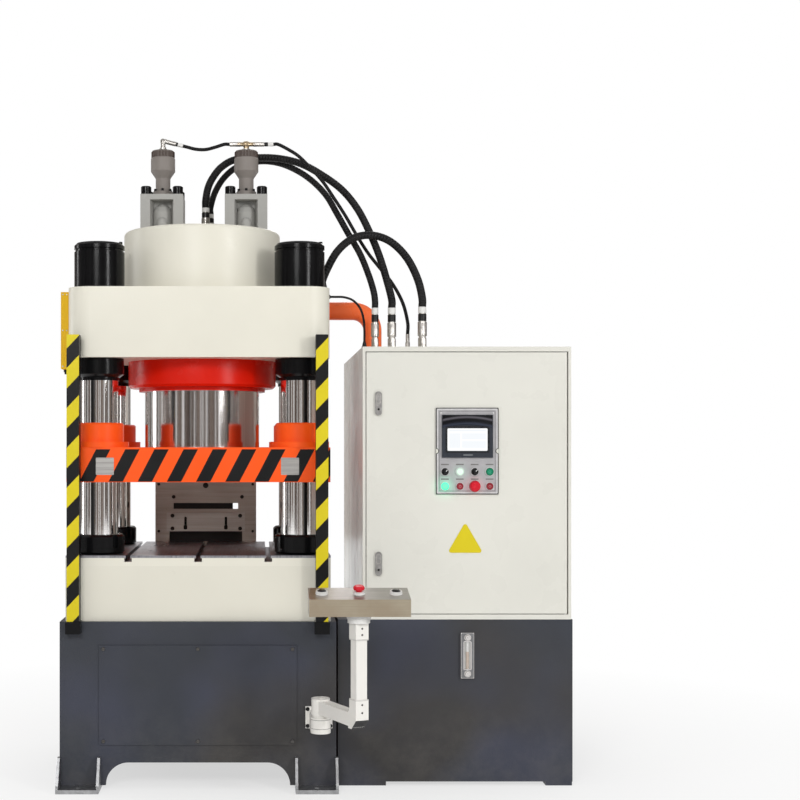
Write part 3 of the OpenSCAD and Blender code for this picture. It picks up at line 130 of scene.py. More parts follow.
class StageSettings(PropertyGroup):
    """Camera and light."""

    eye_x: length_setting("Eye, across", 0.228, "Camera's place to the right of the ram axis")
    eye_out: length_setting("Eye, out", 5.877, "Camera's distance in front of the ram axis")
    eye_up: length_setting("Eye, up", 1.307, "Camera's height above the floor")
    lens: FloatProperty(
        name="Lens", description="Focal length on a 36 mm sensor", default=64.7, min=20.0, max=200.0
    )
    world: FloatProperty(
        name="World", description="Strength of the even light all round", default=0.60, min=0.0
    )
    key: power_setting("Key", "Power of the front light", 132.0)
    fill: power_setting("Fill", "Power of the light on the right, and twice that of the rear one", 105.0)
    strip: power_setting("Strip", "Power of the tall light on the left", 40.0)


def settings():
    """The scene's settings, paints first."""
    scene = bpy.context.scene
    return scene.press_paints, scene.press_hoses, scene.press_stage


def middle(node):
    """The centre of a CAD node's box, and its two corners, as arrays."""
    low, high = (np.array(corner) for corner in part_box(node))
    return (low + high) / 2, low, high


# ---- Surfaces ------------------------------------------------------------------------------------
# A part is (points, faces). Parts of one piece are stacked into one mesh.


def grid_part(points, caps=True):
    """Quads between neighbouring points of a (rows, columns, 3) array, whose last column joins the first.
    caps closes the first and last rows with one face each."""
    rows, cols = points.shape[:2]
    index = np.arange(rows * cols).reshape(rows, cols)
    right = np.roll(index, -1, axis=1)
    quads = np.stack([index[:-1], right[:-1], right[1:], index[1:]], axis=-1).reshape(-1, 4)
    faces = quads.tolist()
    if caps:
        faces.append(index[0, ::-1].tolist())
        faces.append(index[-1].tolist())
    return points.reshape(-1, 3), faces


def circle_turns(sides):
    """Angles of a full circle's points."""
    return np.linspace(0.0, 2 * math.pi, sides, endpoint=False)


def turned_rows(r, z, t):
    """Points x = r cos t, y = r sin t at the heights z, as rows for grid_part. r is (rows, columns)."""
    return np.stack([r * np.cos(t), r * np.sin(t), np.broadcast_to(np.reshape(z, (-1, 1)), r.shape)], axis=-1)


def lathe_part(profile, sides=48):
    """A profile of (radius, height) pairs turned round the Z axis: x = r cos t, y = r sin t, z = height.
    The ends of the profile are closed by one flat face each."""
    r, z = np.asarray(profile, float).T
    return grid_part(turned_rows(np.outer(r, np.ones(sides)), z, circle_turns(sides)))


def rod_part(radius, low, high, sides=48):
    """A plain round rod."""
    return lathe_part([(radius, low), (radius, high)], sides)


def collar_part(inner, outer, low, high, edge=0.0008, sides=40):
    """A ring between two radii and two heights, with its outer rim chamfered at the top: a closed profile
    turned round the Z axis, without flat ends."""
    outside = (outer, low), (outer, high - edge), (outer - edge, high)
    points, faces = lathe_part([*outside, (inner, high), (inner, low), (outer, low)], sides)
    return points, faces[:-2]


def dome_part(radius, low, high, sides=32):
    """A low dome on a short rim: r(z) = R sqrt(1 - q^2), where q runs from 0 at the rim to 1 at the top."""
    q = np.linspace(0.0, 0.97, 7)
    rim = low + 0.35 * (high - low)
    profile = [(radius, low)] + list(zip(radius * np.sqrt(1 - q**2), rim + q * (high - rim)))
    return lathe_part(profile, sides)


def level_rows(outlines):
    """Rows for grid_part from (outline, height) pairs."""
    return np.stack([np.column_stack([xy, np.full(len(xy), z)]) for xy, z in outlines])


def prism_part(outline, low, high):
    """An outline of (x, y) pairs, counter-clockwise, carried straight from z = low to z = high."""
    xy = np.asarray(outline, float)
    return grid_part(level_rows([(xy, low), (xy, high)]))


def slab_part(low, high):
    """A block between two corners."""
    (x0, y0, z0), (x1, y1, z1) = low, high
    return prism_part([(x0, y0), (x1, y0), (x1, y1), (x0, y1)], z0, z1)


def rounded_outline(w, h, r, steps=6):
    """A rectangle w by h about the origin with quarter-circle corners of radius r, counter-clockwise."""
    turn = np.linspace(0.0, math.pi / 2, steps + 1)
    rows = []
    for quarter, (sx, sy) in enumerate(((1, 1), (-1, 1), (-1, -1), (1, -1))):
        t = turn + quarter * math.pi / 2
        rows.append(np.column_stack([sx * (w / 2 - r) + r * np.cos(t), sy * (h / 2 - r) + r * np.sin(t)]))
    return np.concatenate(rows)


def rounded_polygon(corners, r, steps=5):
    """A convex outline, counter-clockwise, whose corners are arcs of radius r. With a and b the outward
    normals of a corner's two sides, its arc turns from a to b about corner - r (a + b) / (1 + a.b)."""
    p = np.asarray(corners, float)
    rows = []
    for before, here, after in zip(np.roll(p, 1, axis=0), p, np.roll(p, -1, axis=0)):
        (ax, ay), (bx, by) = [step / np.linalg.norm(step) for step in (here - before, after - here)]
        a, b = np.array([ay, -ax]), np.array([by, -bx])
        centre = here - r * (a + b) / (1 + a @ b)
        t = math.atan2(a[1], a[0]) + np.linspace(0.0, math.acos(np.clip(a @ b, -1, 1)), steps + 1)
        rows.append(centre + r * np.column_stack([np.cos(t), np.sin(t)]))
    return np.concatenate(rows)


def plate_part(w, h, r, low, high, steps=6):
    """A rectangular plate with rounded corners."""
    return prism_part(rounded_outline(w, h, r, steps), low, high)


def rim_part(outline, inner, low, high):
    """The wall between an outline and an inner one with as many points, from z = low to z = high."""
    rows = [(outline, low), (outline, high), (inner, high), (inner, low), (outline, low)]
    return grid_part(level_rows(rows), caps=False)


def frame_part(w, h, r, wall, inner_r, low, high, steps=6):
    """A rectangular frame w by h outside, with walls of one width and rounded corners."""
    inner = rounded_outline(w - 2 * wall, h - 2 * wall, inner_r, steps)
    return rim_part(rounded_outline(w, h, r, steps), inner, low, high)


LAYS = {
    "Z": ((1, 0, 0), (0, 1, 0), (0, 0, 1)),
    "-Y": ((1, 0, 0), (0, 0, 1), (0, -1, 0)),
    "Y": ((1, 0, 0), (0, 0, -1), (0, 1, 0)),
    "X": ((0, 1, 0), (0, 0, 1), (1, 0, 0)),
}


def placed(part, centre=(0, 0, 0), axis="Z", turn=0.0):
    """A part made about the Z axis, turned about it, laid along an axis ("Z", "-Y", "Y" or "X") and moved.
    Laying is a rotation, so the faces still point outwards."""
    points, faces = part
    c, s = math.cos(turn), math.sin(turn)
    turned = points @ np.array([[c, s, 0], [-s, c, 0], [0, 0, 1]])
    return turned @ np.array(LAYS[axis], float) + np.asarray(centre, float), faces


def on_front(place, *parts):
    """Parts made about the Z axis, laid to face the front at a place."""
    return [placed(part, place, "-Y") for part in parts]


def aimed(start, direction, *parts):
    """Parts made about the Z axis, moved to start with their axis turned along a direction, by the
    rotation whose columns are the direction and two unit vectors square to it."""
    d = np.asarray(direction, float)
    d = d / np.linalg.norm(d)
    u = np.cross([0.0, 1.0, 0.0], d)
    u = u / np.linalg.norm(u)
    turn = np.stack([u, np.cross(d, u), d])
    return [(points @ turn + np.asarray(start, float), faces) for points, faces in parts]


def hexagon_part(radius, low, high, chamfer, turn=0.0):
    """A hexagonal nut blank: the six-sided prism of corner radius R, whose corners are cut back by a
    cone at both ends, so r(t, z) is the smaller of the prism's R cos 30 / cos(t mod 60 - 30) and the cone."""
    t = circle_turns(48)
    flat = radius * math.cos(math.pi / 6) / np.cos((t - turn) % (math.pi / 3) - math.pi / 6)
    cone = np.array([0.80, 0.88, 1.0, 1.0, 0.88, 0.80]) * radius
    r = np.minimum(flat[None], cone[:, None])
    return grid_part(turned_rows(r, [low, low, low + chamfer, high - chamfer, high, high], t))


def crimped_part(radius, low, high, flats=8, depth=0.05):
    """A pressed ferrule: r(t, z) = R (1 - depth |sin(flats t / 2)| p(z)), where p rises from 0 at the
    ends to 1 along the pressed length."""
    t = circle_turns(8 * flats)
    share = np.array([0.0, 0.0, 0.06, 0.14, 0.2, 0.8, 0.86, 0.94, 1.0, 1.0])
    pressed = np.array([0, 0, 0, 0, 1, 1, 0, 0, 0, 0])
    size = np.array([0.86, 0.97, 1, 1, 1, 1, 1, 1, 0.97, 0.86])
    r = radius * size[:, None] * (1 - depth * np.abs(np.sin(flats * t / 2))[None] * pressed[:, None])
    return grid_part(turned_rows(r, low + share * (high - low), t))


def smooth_route(points, steps):
    """A Catmull-Rom curve through the points: each span is the cubic whose end slopes are half the
    difference of the neighbouring points, and the first and last spans keep their own direction."""
    p = np.asarray(points, float)
    p = np.concatenate([[2 * p[0] - p[1]], p, [2 * p[-1] - p[-2]]])
    t = np.linspace(0.0, 1.0, steps, endpoint=False)[:, None]
    a, b, c, d = p[:-3, None], p[1:-2, None], p[2:-1, None], p[3:, None]
    curve = 0.5 * (2 * b + (c - a) * t + (2 * a - 5 * b + 4 * c - d) * t**2 + (3 * b - a - 3 * c + d) * t**3)
    return np.concatenate([curve.reshape(-1, 3), p[-2][None]])


def tube_part(route, radius, sides):
    """Circles of a radius square to a route. The circle's first axis is the tangent crossed with Y, so it
    never twists on a route that isn't along Y."""
    along = np.gradient(route, axis=0)
    along[0], along[-1] = route[1] - route[0], route[-1] - route[-2]
    along /= np.linalg.norm(along, axis=1)[:, None]
    u = np.cross(along, [0.0, 1.0, 0.0])
    u /= np.linalg.norm(u, axis=1)[:, None]
    v = np.cross(along, u)
    t = circle_turns(sides)
    circle = np.cos(t)[None, :, None] * u[:, None] + np.sin(t)[None, :, None] * v[:, None]
    return grid_part(route[:, None] + radius * circle)


def route_length(route):
    """The sum of the distances between neighbouring points."""
    return float(np.linalg.norm(np.diff(route, axis=0), axis=1).sum())


def piece(name, parts, material, body="frame", bevel=0.0, sharp=40.0):
    """One mesh object from parts, at the origin, riding on a CAD body. bevel rounds its sharp edges."""
    points, faces, offset = [], [], 0
    for part_points, part_faces in parts:
        points.append(part_points)
        faces += [[i + offset for i in face] for face in part_faces]
        offset += len(part_points)
    mesh = bpy.data.meshes.new(name)
    mesh.from_pydata(np.concatenate(points).tolist(), [], faces)
    mesh.validate()
    mesh.shade_smooth()
    mesh.set_sharp_from_angle(angle=math.radians(sharp))
    obj = bpy.data.objects.new(name, mesh)
    bpy.context.scene.collection.objects.link(obj)
    mesh.materials.append(material)
    if bevel:
        edge = obj.modifiers.new("Edge", "BEVEL")
        edge.width = bevel
        edge.segments = 2
        edge.limit_method = "ANGLE"
        edge.angle_limit = math.radians(sharp)
        edge.harden_normals = True
    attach(obj, body)
    return obj


# ---- Shader nodes --------------------------------------------------------------------------------


class Value:
    """The value of a socket. Sums on it add Math nodes to its net, and a comparison gives 1 or 0."""

    def __init__(self, net, socket):
        self.net, self.socket = net, socket

    def __add__(self, other):
        return self.net.sum("ADD", self, other)

    def __sub__(self, other):
        return self.net.sum("SUBTRACT", self, other)

    def __rsub__(self, other):
        return self.net.sum("SUBTRACT", other, self)

    def __mul__(self, other):
        return self.net.sum("MULTIPLY", self, other)

    def __truediv__(self, other):
        return self.net.sum("DIVIDE", self, other)

    def __lt__(self, other):
        return self.net.sum("LESS_THAN", self, other)

    def __gt__(self, other):
        return self.net.sum("GREATER_THAN", self, other)

    def __abs__(self):
        return self.net.sum("ABSOLUTE", self)

    def greater(self, other):
        """The greater of two values."""
        return self.net.sum("MAXIMUM", self, other)

    def bell(self):
        """exp(-v^2)."""
        return self.net.sum("EXPONENT", self * self * -1.0)

    def carried(self, low, high, new_low=0.0, new_high=1.0):
        """A value carried from one range to another, held inside the new one."""
        values = {"Value": self, "From Min": low, "From Max": high, "To Min": new_low, "To Max": new_high}
        return Value(self.net, self.net.add("ShaderNodeMapRange", values).outputs[0])


def fill_inputs(tree, inputs, values):
    """Sets each named input to a value or a colour, or links it to a socket."""
    for name, value in values.items():
        socket = value.socket if isinstance(value, Value) else value
        if isinstance(socket, bpy.types.NodeSocket):
            tree.links.new(socket, inputs[name])
        else:
            inputs[name].default_value = socket


def rgba(colour):
    """A value as it is, or a colour with full alpha."""
    return colour if isinstance(colour, Value) else (*colour, 1.0)


class Net:
    """A node tree and the nodes that surfaces are made of."""

    def __init__(self, tree):
        self.tree = tree

    def add(self, kind, values=None, **attributes):
        """A node with its attributes set and its inputs given."""
        made = self.tree.nodes.new(kind)
        for name, value in attributes.items():
            setattr(made, name, value)
        fill_inputs(self.tree, made.inputs, values or {})
        return made

    def sum(self, operation, a, b=0.0):
        """The result of one sum on two values or numbers."""
        return Value(self, self.add("ShaderNodeMath", {0: a, 1: b}, operation=operation).outputs[0])

    def vector_sum(self, operation, a, b):
        """The result of one sum on two vectors."""
        outputs = self.add("ShaderNodeVectorMath", {0: a, 1: b}, operation=operation).outputs
        return Value(self, outputs["Value" if operation in ("DISTANCE", "DOT_PRODUCT") else "Vector"])

    def blend(self, factor, a, b):
        """A colour between a and b."""
        made = self.add("ShaderNodeMix", data_type="RGBA")
        fill_inputs(self.tree, made.inputs, {0: factor, 6: rgba(a), 7: rgba(b)})
        return Value(self, made.outputs[2])

    def place(self):
        """Object coordinates."""
        return self.add("ShaderNodeTexCoord").outputs["Object"]

    def axes(self, place=None):
        """The three values of a vector, or of the object coordinates."""
        made = self.add("ShaderNodeSeparateXYZ", {0: place or self.place()})
        return [Value(self, socket) for socket in made.outputs]

    def noise(self, scale, detail=3.0, roughness=0.5, place=None):
        """Fractal noise from 0 to 1, in the object's space or over a vector."""
        values = {"Vector": place or self.place(), "Scale": scale, "Detail": detail, "Roughness": roughness}
        return Value(self, self.add("ShaderNodeTexNoise", values).outputs["Fac"])

    def group(self, name, build, **values):
        """The named results of a node group, which is built the first time it is asked for."""
        made = self.add("ShaderNodeGroup", node_tree=bpy.data.node_groups.get(name) or build(name))
        fill_inputs(self.tree, made.inputs, values)
        return {socket.name: Value(self, socket) for socket in made.outputs}


class Surface(Net):
    """A new material, with its Principled shader, or an old one to be changed."""

    def __init__(self, material, **values):
        if isinstance(material, str):
            material = bpy.data.materials.new(material)
            material.use_nodes = True
        super().__init__(material.node_tree)
        self.material = material
        self.shader = self.tree.nodes["Principled BSDF"]
        self.set(**values)

    def set(self, **values):
        """Sets or links inputs of the shader, named with underscores for spaces. Returns the material."""
        named = {label.replace("_", " "): value for label, value in values.items()}
        fill_inputs(self.tree, self.shader.inputs, named)
        return self.material

    def bump(self, height, distance, strength=1.0):
        """The normal that a Bump node makes from a height."""
        values = {"Height": height, "Distance": distance, "Strength": strength}
        return Value(self, self.add("ShaderNodeBump", values).outputs[0])

    def repaint(self, mask, colour):
        """Lays a colour over the present tone where a mask is 1."""
        bare = Value(self, self.shader.inputs["Base Color"].links[0].from_socket)
        self.set(Base_Color=self.blend(mask, bare, colour))


COLOUR, NUMBER, VECTOR = "NodeSocketColor", "NodeSocketFloat", "NodeSocketVector"


def new_group(name, inputs, build):
    """A node group with inputs {name: (socket type, default)}. build is a function of the net and of the
    given values that returns the results, {name: (socket type, value)}."""
    tree = bpy.data.node_groups.new(name, "ShaderNodeTree")
    for label, (kind, default) in inputs.items():
        tree.interface.new_socket(label, in_out="INPUT", socket_type=kind).default_value = default
    net = Net(tree)
    given = {socket.name: Value(net, socket) for socket in tree.nodes.new("NodeGroupInput").outputs}
    results = build(net, given)
    for label, (kind, _) in results.items():
        tree.interface.new_socket(label, in_out="OUTPUT", socket_type=kind)
    ends = tree.nodes.new("NodeGroupOutput").inputs
    fill_inputs(tree, ends, {label: value for label, (_, value) in results.items()})
    return tree


def build_enamel(name):
    """Sprayed enamel: slow tone drift, small dark specks, dust that gathers low down, and orange peel."""

    def enamelled(net, given):
        toned = net.vector_sum("MULTIPLY", given["Colour"], net.noise(1.7, 4.0).carried(0.3, 0.7, 0.94, 1.03))
        low_down = net.axes()[2].carried(0.0, 0.35, 1.0, 0.12)
        dust = net.noise(6.0, 6.0, 0.7).carried(0.42, 0.75) * low_down * given["Dust"]
        dusty = net.blend(dust, toned, (0.42, 0.38, 0.32))
        scuffs = net.noise(55.0, 8.0, 0.75).carried(0.70, 0.78, 0.0, 0.35) * given["Dust"]
        rough = given["Gloss"] + net.noise(9.0, 5.0).carried(0.3, 0.7, -0.05, 0.07) + dust
        return {
            "Colour": (COLOUR, net.blend(scuffs, dusty, (0.08, 0.08, 0.08))),
            "Roughness": (NUMBER, rough),
            "Height": (NUMBER, net.noise(320.0, 1.0) * given["Peel"]),
        }

    inputs = {
        "Colour": (COLOUR, (1, 1, 1, 1)), "Gloss": (NUMBER, 0.3),
        "Dust": (NUMBER, 0.1), "Peel": (NUMBER, 1.0),
    }
    return new_group(name, inputs, enamelled)


def build_streaks(name):
    """Fine scratches along one direction, which are noise squeezed by the Stretch vector, and slow clouds."""

    def streaked(net, given):
        squeezed = net.vector_sum("MULTIPLY", net.place(), given["Stretch"]).socket
        return {"Streak": (NUMBER, net.noise(1.0, 6.0, 0.65, squeezed)), "Cloud": (NUMBER, net.noise(8.0))}

    return new_group(name, {"Stretch": (VECTOR, (1, 1, 1))}, streaked)


def build_stripes(name):
    """A mask of slanted bands: 1 where the fraction of (place . Slant + Shift) / Period is under Share."""

    def striped(net, given):
        along = net.vector_sum("DOT_PRODUCT", net.place(), given["Slant"]) + given["Shift"]
        return {"Mask": (NUMBER, net.sum("FRACT", along / given["Period"]) < given["Share"])}

    inputs = {
        "Slant": (VECTOR, (1, 0, 1)), "Period": (NUMBER, 0.1),
        "Shift": (NUMBER, 0.0), "Share": (NUMBER, 0.5),
    }
    return new_group(name, inputs, striped)


# Each lit control, the colour of its light and how far that reaches
LAMPS = (
    ("lit_green_button", (0.01, 0.42, 0.20), 0.034), ("pilot_lamp", (0.10, 0.26, 0.18), 0.022),
    ("panel_estop", (0.42, 0.05, 0.06), 0.027), ("red_button_1", (0.12, 0.02, 0.03), 0.020),
    ("red_button_2", (0.12, 0.02, 0.03), 0.020), ("green_button", (0.02, 0.12, 0.08), 0.018),
)


def build_glow(name):
    """Light that the lit controls throw on what is round them. With d the distance from a control, each
    adds its colour times exp(-(d / reach)^2)."""

    def glowing(net, _):
        total = (0.0, 0.0, 0.0)
        for node, colour, reach in LAMPS:
            away = net.vector_sum("DISTANCE", net.place(), tuple(middle(node)[0])) / reach
            total = net.vector_sum("ADD", total, net.vector_sum("MULTIPLY", colour, away.bell()))
        return {"Colour": (COLOUR, only_outside(net, total))}

    return new_group(name, {}, glowing)


def only_outside(net, colour):
    """A colour outside the shut door, and black behind its front."""
    return net.vector_sum("MULTIPLY", colour, net.axes()[1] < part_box("door")[0][1] + SKIN)


# ---- Materials -----------------------------------------------------------------------------------


def shared(name, build, *values, **options):
    """The material of that name, built the first time it is asked for."""
    return bpy.data.materials.get(name) or build(name, *values, **options)


def enamel(name, colour, gloss=0.28, dust=0.12, peel=1.0, shine=0.22, under=None):
    """Sprayed enamel. under, if given, is a function of the net that returns the colour."""
    coat = Surface(name, Specular_IOR_Level=shine)
    base = under(coat) if under else rgba(colour)
    skin = coat.group("Enamel", build_enamel, Colour=base, Gloss=gloss, Dust=dust, Peel=peel)
    relief = coat.bump(skin["Height"], 0.00025)
    return coat.set(Base_Color=skin["Colour"], Roughness=skin["Roughness"], Normal=relief)


def rear_cover(colour, node, margin, width):
    """A function of the net that draws the joint of a cover on a node's rear face: with u and v how far
    a point is outside the cover's sides and ends, the joint is where |max(u, v)| is under half its width."""
    mid, _, high = middle(node)
    half = high - mid - margin

    def joint(net):
        x, y, z = net.axes()
        beyond = (abs(x - mid[0]) - half[0]).greater(abs(z - mid[2]) - half[2])
        line = (abs(beyond) < width / 2) * (y > high[1] - SKIN)
        return net.blend(line, colour, (0.05, 0.05, 0.045))

    return joint


def mottled(middle_tone, cool, warm):
    """A function of the net that gives a tone drifting slowly between a cool and a warm one."""

    def drift(net):
        cooler, warmer = net.noise(2.2, 2.0).carried(0.42, 0.62), net.noise(1.6, 2.0, 0.4).carried(0.50, 0.66)
        return net.blend(warmer, net.blend(cooler, middle_tone, cool), warm)

    return drift


def striped_enamel(name, dark, bright, slant, period, share, shift, window, outside, step=0.0, **finish):
    """Enamel with slanted dark bands on a bright ground. The bands show between the levels of window,
    (axis, low, high) in object coordinates, and the colour outside is seen beyond them. On the right of
    the ram axis the bands are moved on by step."""

    def bands(net):
        axes = net.axes()
        moved = (axes[0] > 0.0) * step + shift
        stripes = net.group("Stripes", build_stripes, Slant=slant, Period=period, Shift=moved, Share=share)
        inside = 1.0
        for axis, low, high in window:
            inside = net.sum("MULTIPLY", inside, axes[axis] > low) * (axes[axis] < high)
        return net.blend(inside, outside, net.blend(stripes["Mask"], bright, dark))

    return enamel(name, bright, under=bands, **finish)


def metal(name, colour, dark, rough=(0.18, 0.34), stretch=(2, 2, 300), relief=0.00004, specks=0.0):
    """Bare metal with fine scratches: the streaks set the tone, the roughness and a slight relief."""
    bare = Surface(name, Metallic=1.0)
    streak, cloud = bare.group("Streaks", build_streaks, Stretch=stretch).values()
    base = bare.blend(streak.carried(0.3, 0.7), dark, colour)
    if specks:
        rust = bare.noise(60.0, 6.0, 0.7).carried(0.62, 0.72, 0.0, specks)
        base = bare.blend(rust, base, (0.16, 0.10, 0.06))
    worn = (streak + cloud).carried(0.6, 1.4, *rough)
    return bare.set(Base_Color=base, Roughness=worn, Normal=bare.bump(streak, relief))


def painted_below(material, node, colour, edge):
    """Paints the outer sides of a bare metal node in a colour, up to an edge's depth below its top."""
    _, low, high = middle(node)
    coat = Surface(material)
    x, y, z = coat.axes()
    sides = (y < low[1] + SKIN).greater(y > high[1] - SKIN).greater(abs(x) > high[0] - SKIN)
    painted = sides * (z < high[2] - edge)
    coat.repaint(painted, colour)
    coat.set(Metallic=1.0 - painted)


def slot_shade(material, centre, reach, drop):
    """Darkens the front of the gate in two upright bands, where the shutter's slots show it: |x| within
    reach of centre, from a drop below the shutter's top downwards."""
    coat = Surface(material)
    x, y, z = coat.axes()
    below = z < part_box("gate_shutter")[1][2] - drop
    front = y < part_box("gate_frame")[1][1] - GATE_PLATE / 2
    coat.repaint(below * front * (abs(abs(x) - centre) < reach), (0.012, 0.011, 0.010))


def console_steel(name):
    """Brushed stainless of the console: a warm, dull front and a brighter, smoother top, parted by the
    place along Y."""
    bare = Surface(name, Metallic=1.0)
    streak = bare.group("Streaks", build_streaks, Stretch=(4, 220, 220))["Streak"]
    front = bare.axes()[1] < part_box("console_box")[0][1] + SKIN
    tone = streak.carried(0.3, 0.7)
    dull = bare.blend(bare.noise(9.0).carried(0.35, 0.65), (0.40, 0.33, 0.24), (0.47, 0.41, 0.31))
    dull = bare.blend(tone * 0.5, dull, (0.36, 0.31, 0.24))
    bright = bare.blend(tone, (0.34, 0.32, 0.30), (0.50, 0.48, 0.455))
    rough = front * 0.05 + streak.carried(0.2, 0.8, 0.30, 0.42)
    base = bare.blend(front, bright, dull)
    return bare.set(Base_Color=base, Roughness=rough, Normal=bare.bump(streak, 0.00001))


def plastic(name, colour, rough=0.4, grain=0.00006, glow=0.0, shine=0.3):
    """Moulded plastic: a fine grain, a slight tone drift, and a glow where it is lit from behind."""
    shell = Surface(name, Specular_IOR_Level=shine)
    base = shell.blend(shell.noise(30.0).carried(0.3, 0.7), tuple(0.85 * c for c in colour), colour)
    worn = shell.noise(60.0).carried(0.3, 0.7, rough - 0.05, rough + 0.06)
    if glow:
        shell.set(Emission_Color=only_outside(shell, base), Emission_Strength=glow)
    return shell.set(Base_Color=base, Roughness=worn, Normal=shell.bump(shell.noise(1500.0, 1.0), grain))


def lit_by_controls(material):
    """Adds the light of the lit controls to a material of the door or its panel."""
    lit = Surface(material)
    return lit.set(Emission_Color=lit.group("Glow", build_glow)["Colour"], Emission_Strength=1.0)


def hose_rubber(name, pitch):
    """Black rubber with the print of its cloth wrap: fine ridges wound round the hose on its own UV map,
    where V runs in metres along the hose."""
    rubber = Surface(name, Specular_IOR_Level=0.2)
    u, v, _ = rubber.axes(rubber.add("ShaderNodeUVMap", uv_map="Wrap").outputs[0])
    ridge = rubber.sum("SINE", (v / pitch + u) * (2 * math.pi))
    worn = rubber.noise(25.0, 5.0).carried(0.35, 0.7)
    base = rubber.blend(worn, (0.006, 0.006, 0.007), (0.019, 0.018, 0.018))
    rough = worn.carried(0.0, 1.0, 0.34, 0.52)
    return rubber.set(Base_Color=base, Roughness=rough, Normal=rubber.bump(ridge, 0.0012, 0.9))


def display_centre():
    """The centre of the lit display on the face of the touch screen."""
    mid, low, _ = middle("touch_screen")
    return mid[0], low[1], mid[2] - 0.013


# Plain blocks on the lit display, from the display's centre: left, right, lower and upper side
DISPLAY_BLOCKS = (
    (-0.070, 0.070, 0.031, 0.038), (-0.070, -0.028, -0.032, 0.024), (-0.021, 0.070, -0.032, -0.006),
    (-0.021, 0.070, 0.001, 0.024),
)


def lit_screen(name):
    """A lit display: an even white with a few plain, barely darker blocks."""
    lit = Surface(
        name, Roughness=0.15, Specular_IOR_Level=0.3, Base_Color=(0.02, 0.02, 0.02, 1), Emission_Strength=1.0
    )
    x, _, z = lit.axes()
    mid_x, _, mid_z = display_centre()
    blocks = 0.0
    for left, right, lower, upper in DISPLAY_BLOCKS:
        inside = lit.sum("MULTIPLY", 1.0, x > mid_x + left) * (x < mid_x + right)
        inside = inside * (z > mid_z + lower) * (z < mid_z + upper)
        blocks = lit.sum("MAXIMUM", blocks, inside)
    return lit.set(Emission_Color=lit.blend(blocks, (1.0, 1.0, 1.0), (0.90, 0.93, 0.96)))


def visor_gloss(name):
    """Black gloss with two curved painted highlights in its colour. With v the height over a bow that sags
    towards the sides, each painted highlight is exp(-((v - level) / width)^2)."""
    gloss = Surface(name, Roughness=0.12, Specular_IOR_Level=0.4)
    mid, _, high = middle("touch_screen")
    x, _, z = gloss.axes()
    across = x - mid[0]
    up = z + across * across * 1.3 - high[2]
    base = (0.0035, 0.004, 0.0055)
    # Two painted highlights: a pale band near the top and a dark blue one below it
    base = gloss.blend(((up - -0.009) / 0.004).bell(), base, (0.10, 0.095, 0.11))
    base = gloss.blend(((up - -0.034) / 0.006).bell(), base, (0.030, 0.036, 0.055))
    return gloss.set(Base_Color=base)


def gauge_glass(name):
    """Glass of the level gauge, filled with old oil to 15 mm above its middle."""
    glass = Surface(name, Roughness=0.08, Specular_IOR_Level=0.6, Coat_Weight=0.6)
    oil = glass.axes()[2] < middle("level_gauge")[0][2] + 0.015
    amber = glass.blend(glass.noise(40.0).carried(0.3, 0.7), (0.46, 0.36, 0.29), (0.56, 0.47, 0.40))
    return glass.set(Base_Color=glass.blend(oil, (0.62, 0.62, 0.60), amber))


def plated(name, colour, dark, rough):
    """A shared plate or worn metal with fine, even marks."""
    return shared(name, metal, colour, dark, rough, (60, 60, 60), 0.00002)


def nickel():
    """Bright nickel plate of nuts, ferrules, rims and screws."""
    return plated("nickel_plate", (0.66, 0.64, 0.61), (0.42, 0.40, 0.375), (0.30, 0.46))


def trim_black():
    """Black plastic of rings, caps and plugs, and the black that paints shade in keyholes, louvre openings,
    panel notches and round the control panel.
    """
    return shared("trim_black", plastic, (0.008, 0.008, 0.009), 0.32)


def trim_white():
    """White plastic of sleeves and collars."""
    return shared("trim_white", plastic, (0.76, 0.75, 0.73), 0.40)


def dark_screw():
    """Blackened steel of socket screws."""
    return shared("dark_screw", metal, (0.16, 0.15, 0.14), (0.08, 0.08, 0.08), (0.3, 0.5))


# ---- Stage ---------------------------------------------------------------------------------------

WHITE = (1, 1, 1)


def area_light(name, power, size, place, target):
    """A rectangular light at a place, turned to face a target."""
    light = bpy.data.lights.new(name, "AREA")
    light.shape = "RECTANGLE"
    light.size, light.size_y = size
    light.energy = power
    obj = bpy.data.objects.new(name, light)
    obj.location = place
    away = np.asarray(target, float) - np.asarray(place, float)
    obj.rotation_mode = "QUATERNION"
    obj.rotation_quaternion = Vector(away).to_track_quat("-Z", "Y")
    bpy.context.scene.collection.objects.link(obj)


def seen_directly(net):
    """1 for rays that show the backdrop as it is, from the camera or through glass, and 1 for glossy rays."""
    path = net.add("ShaderNodeLightPath").outputs
    seen = Value(net, path["Is Camera Ray"]).greater(path["Is Transmission Ray"])
    return seen, Value(net, path["Is Glossy Ray"])


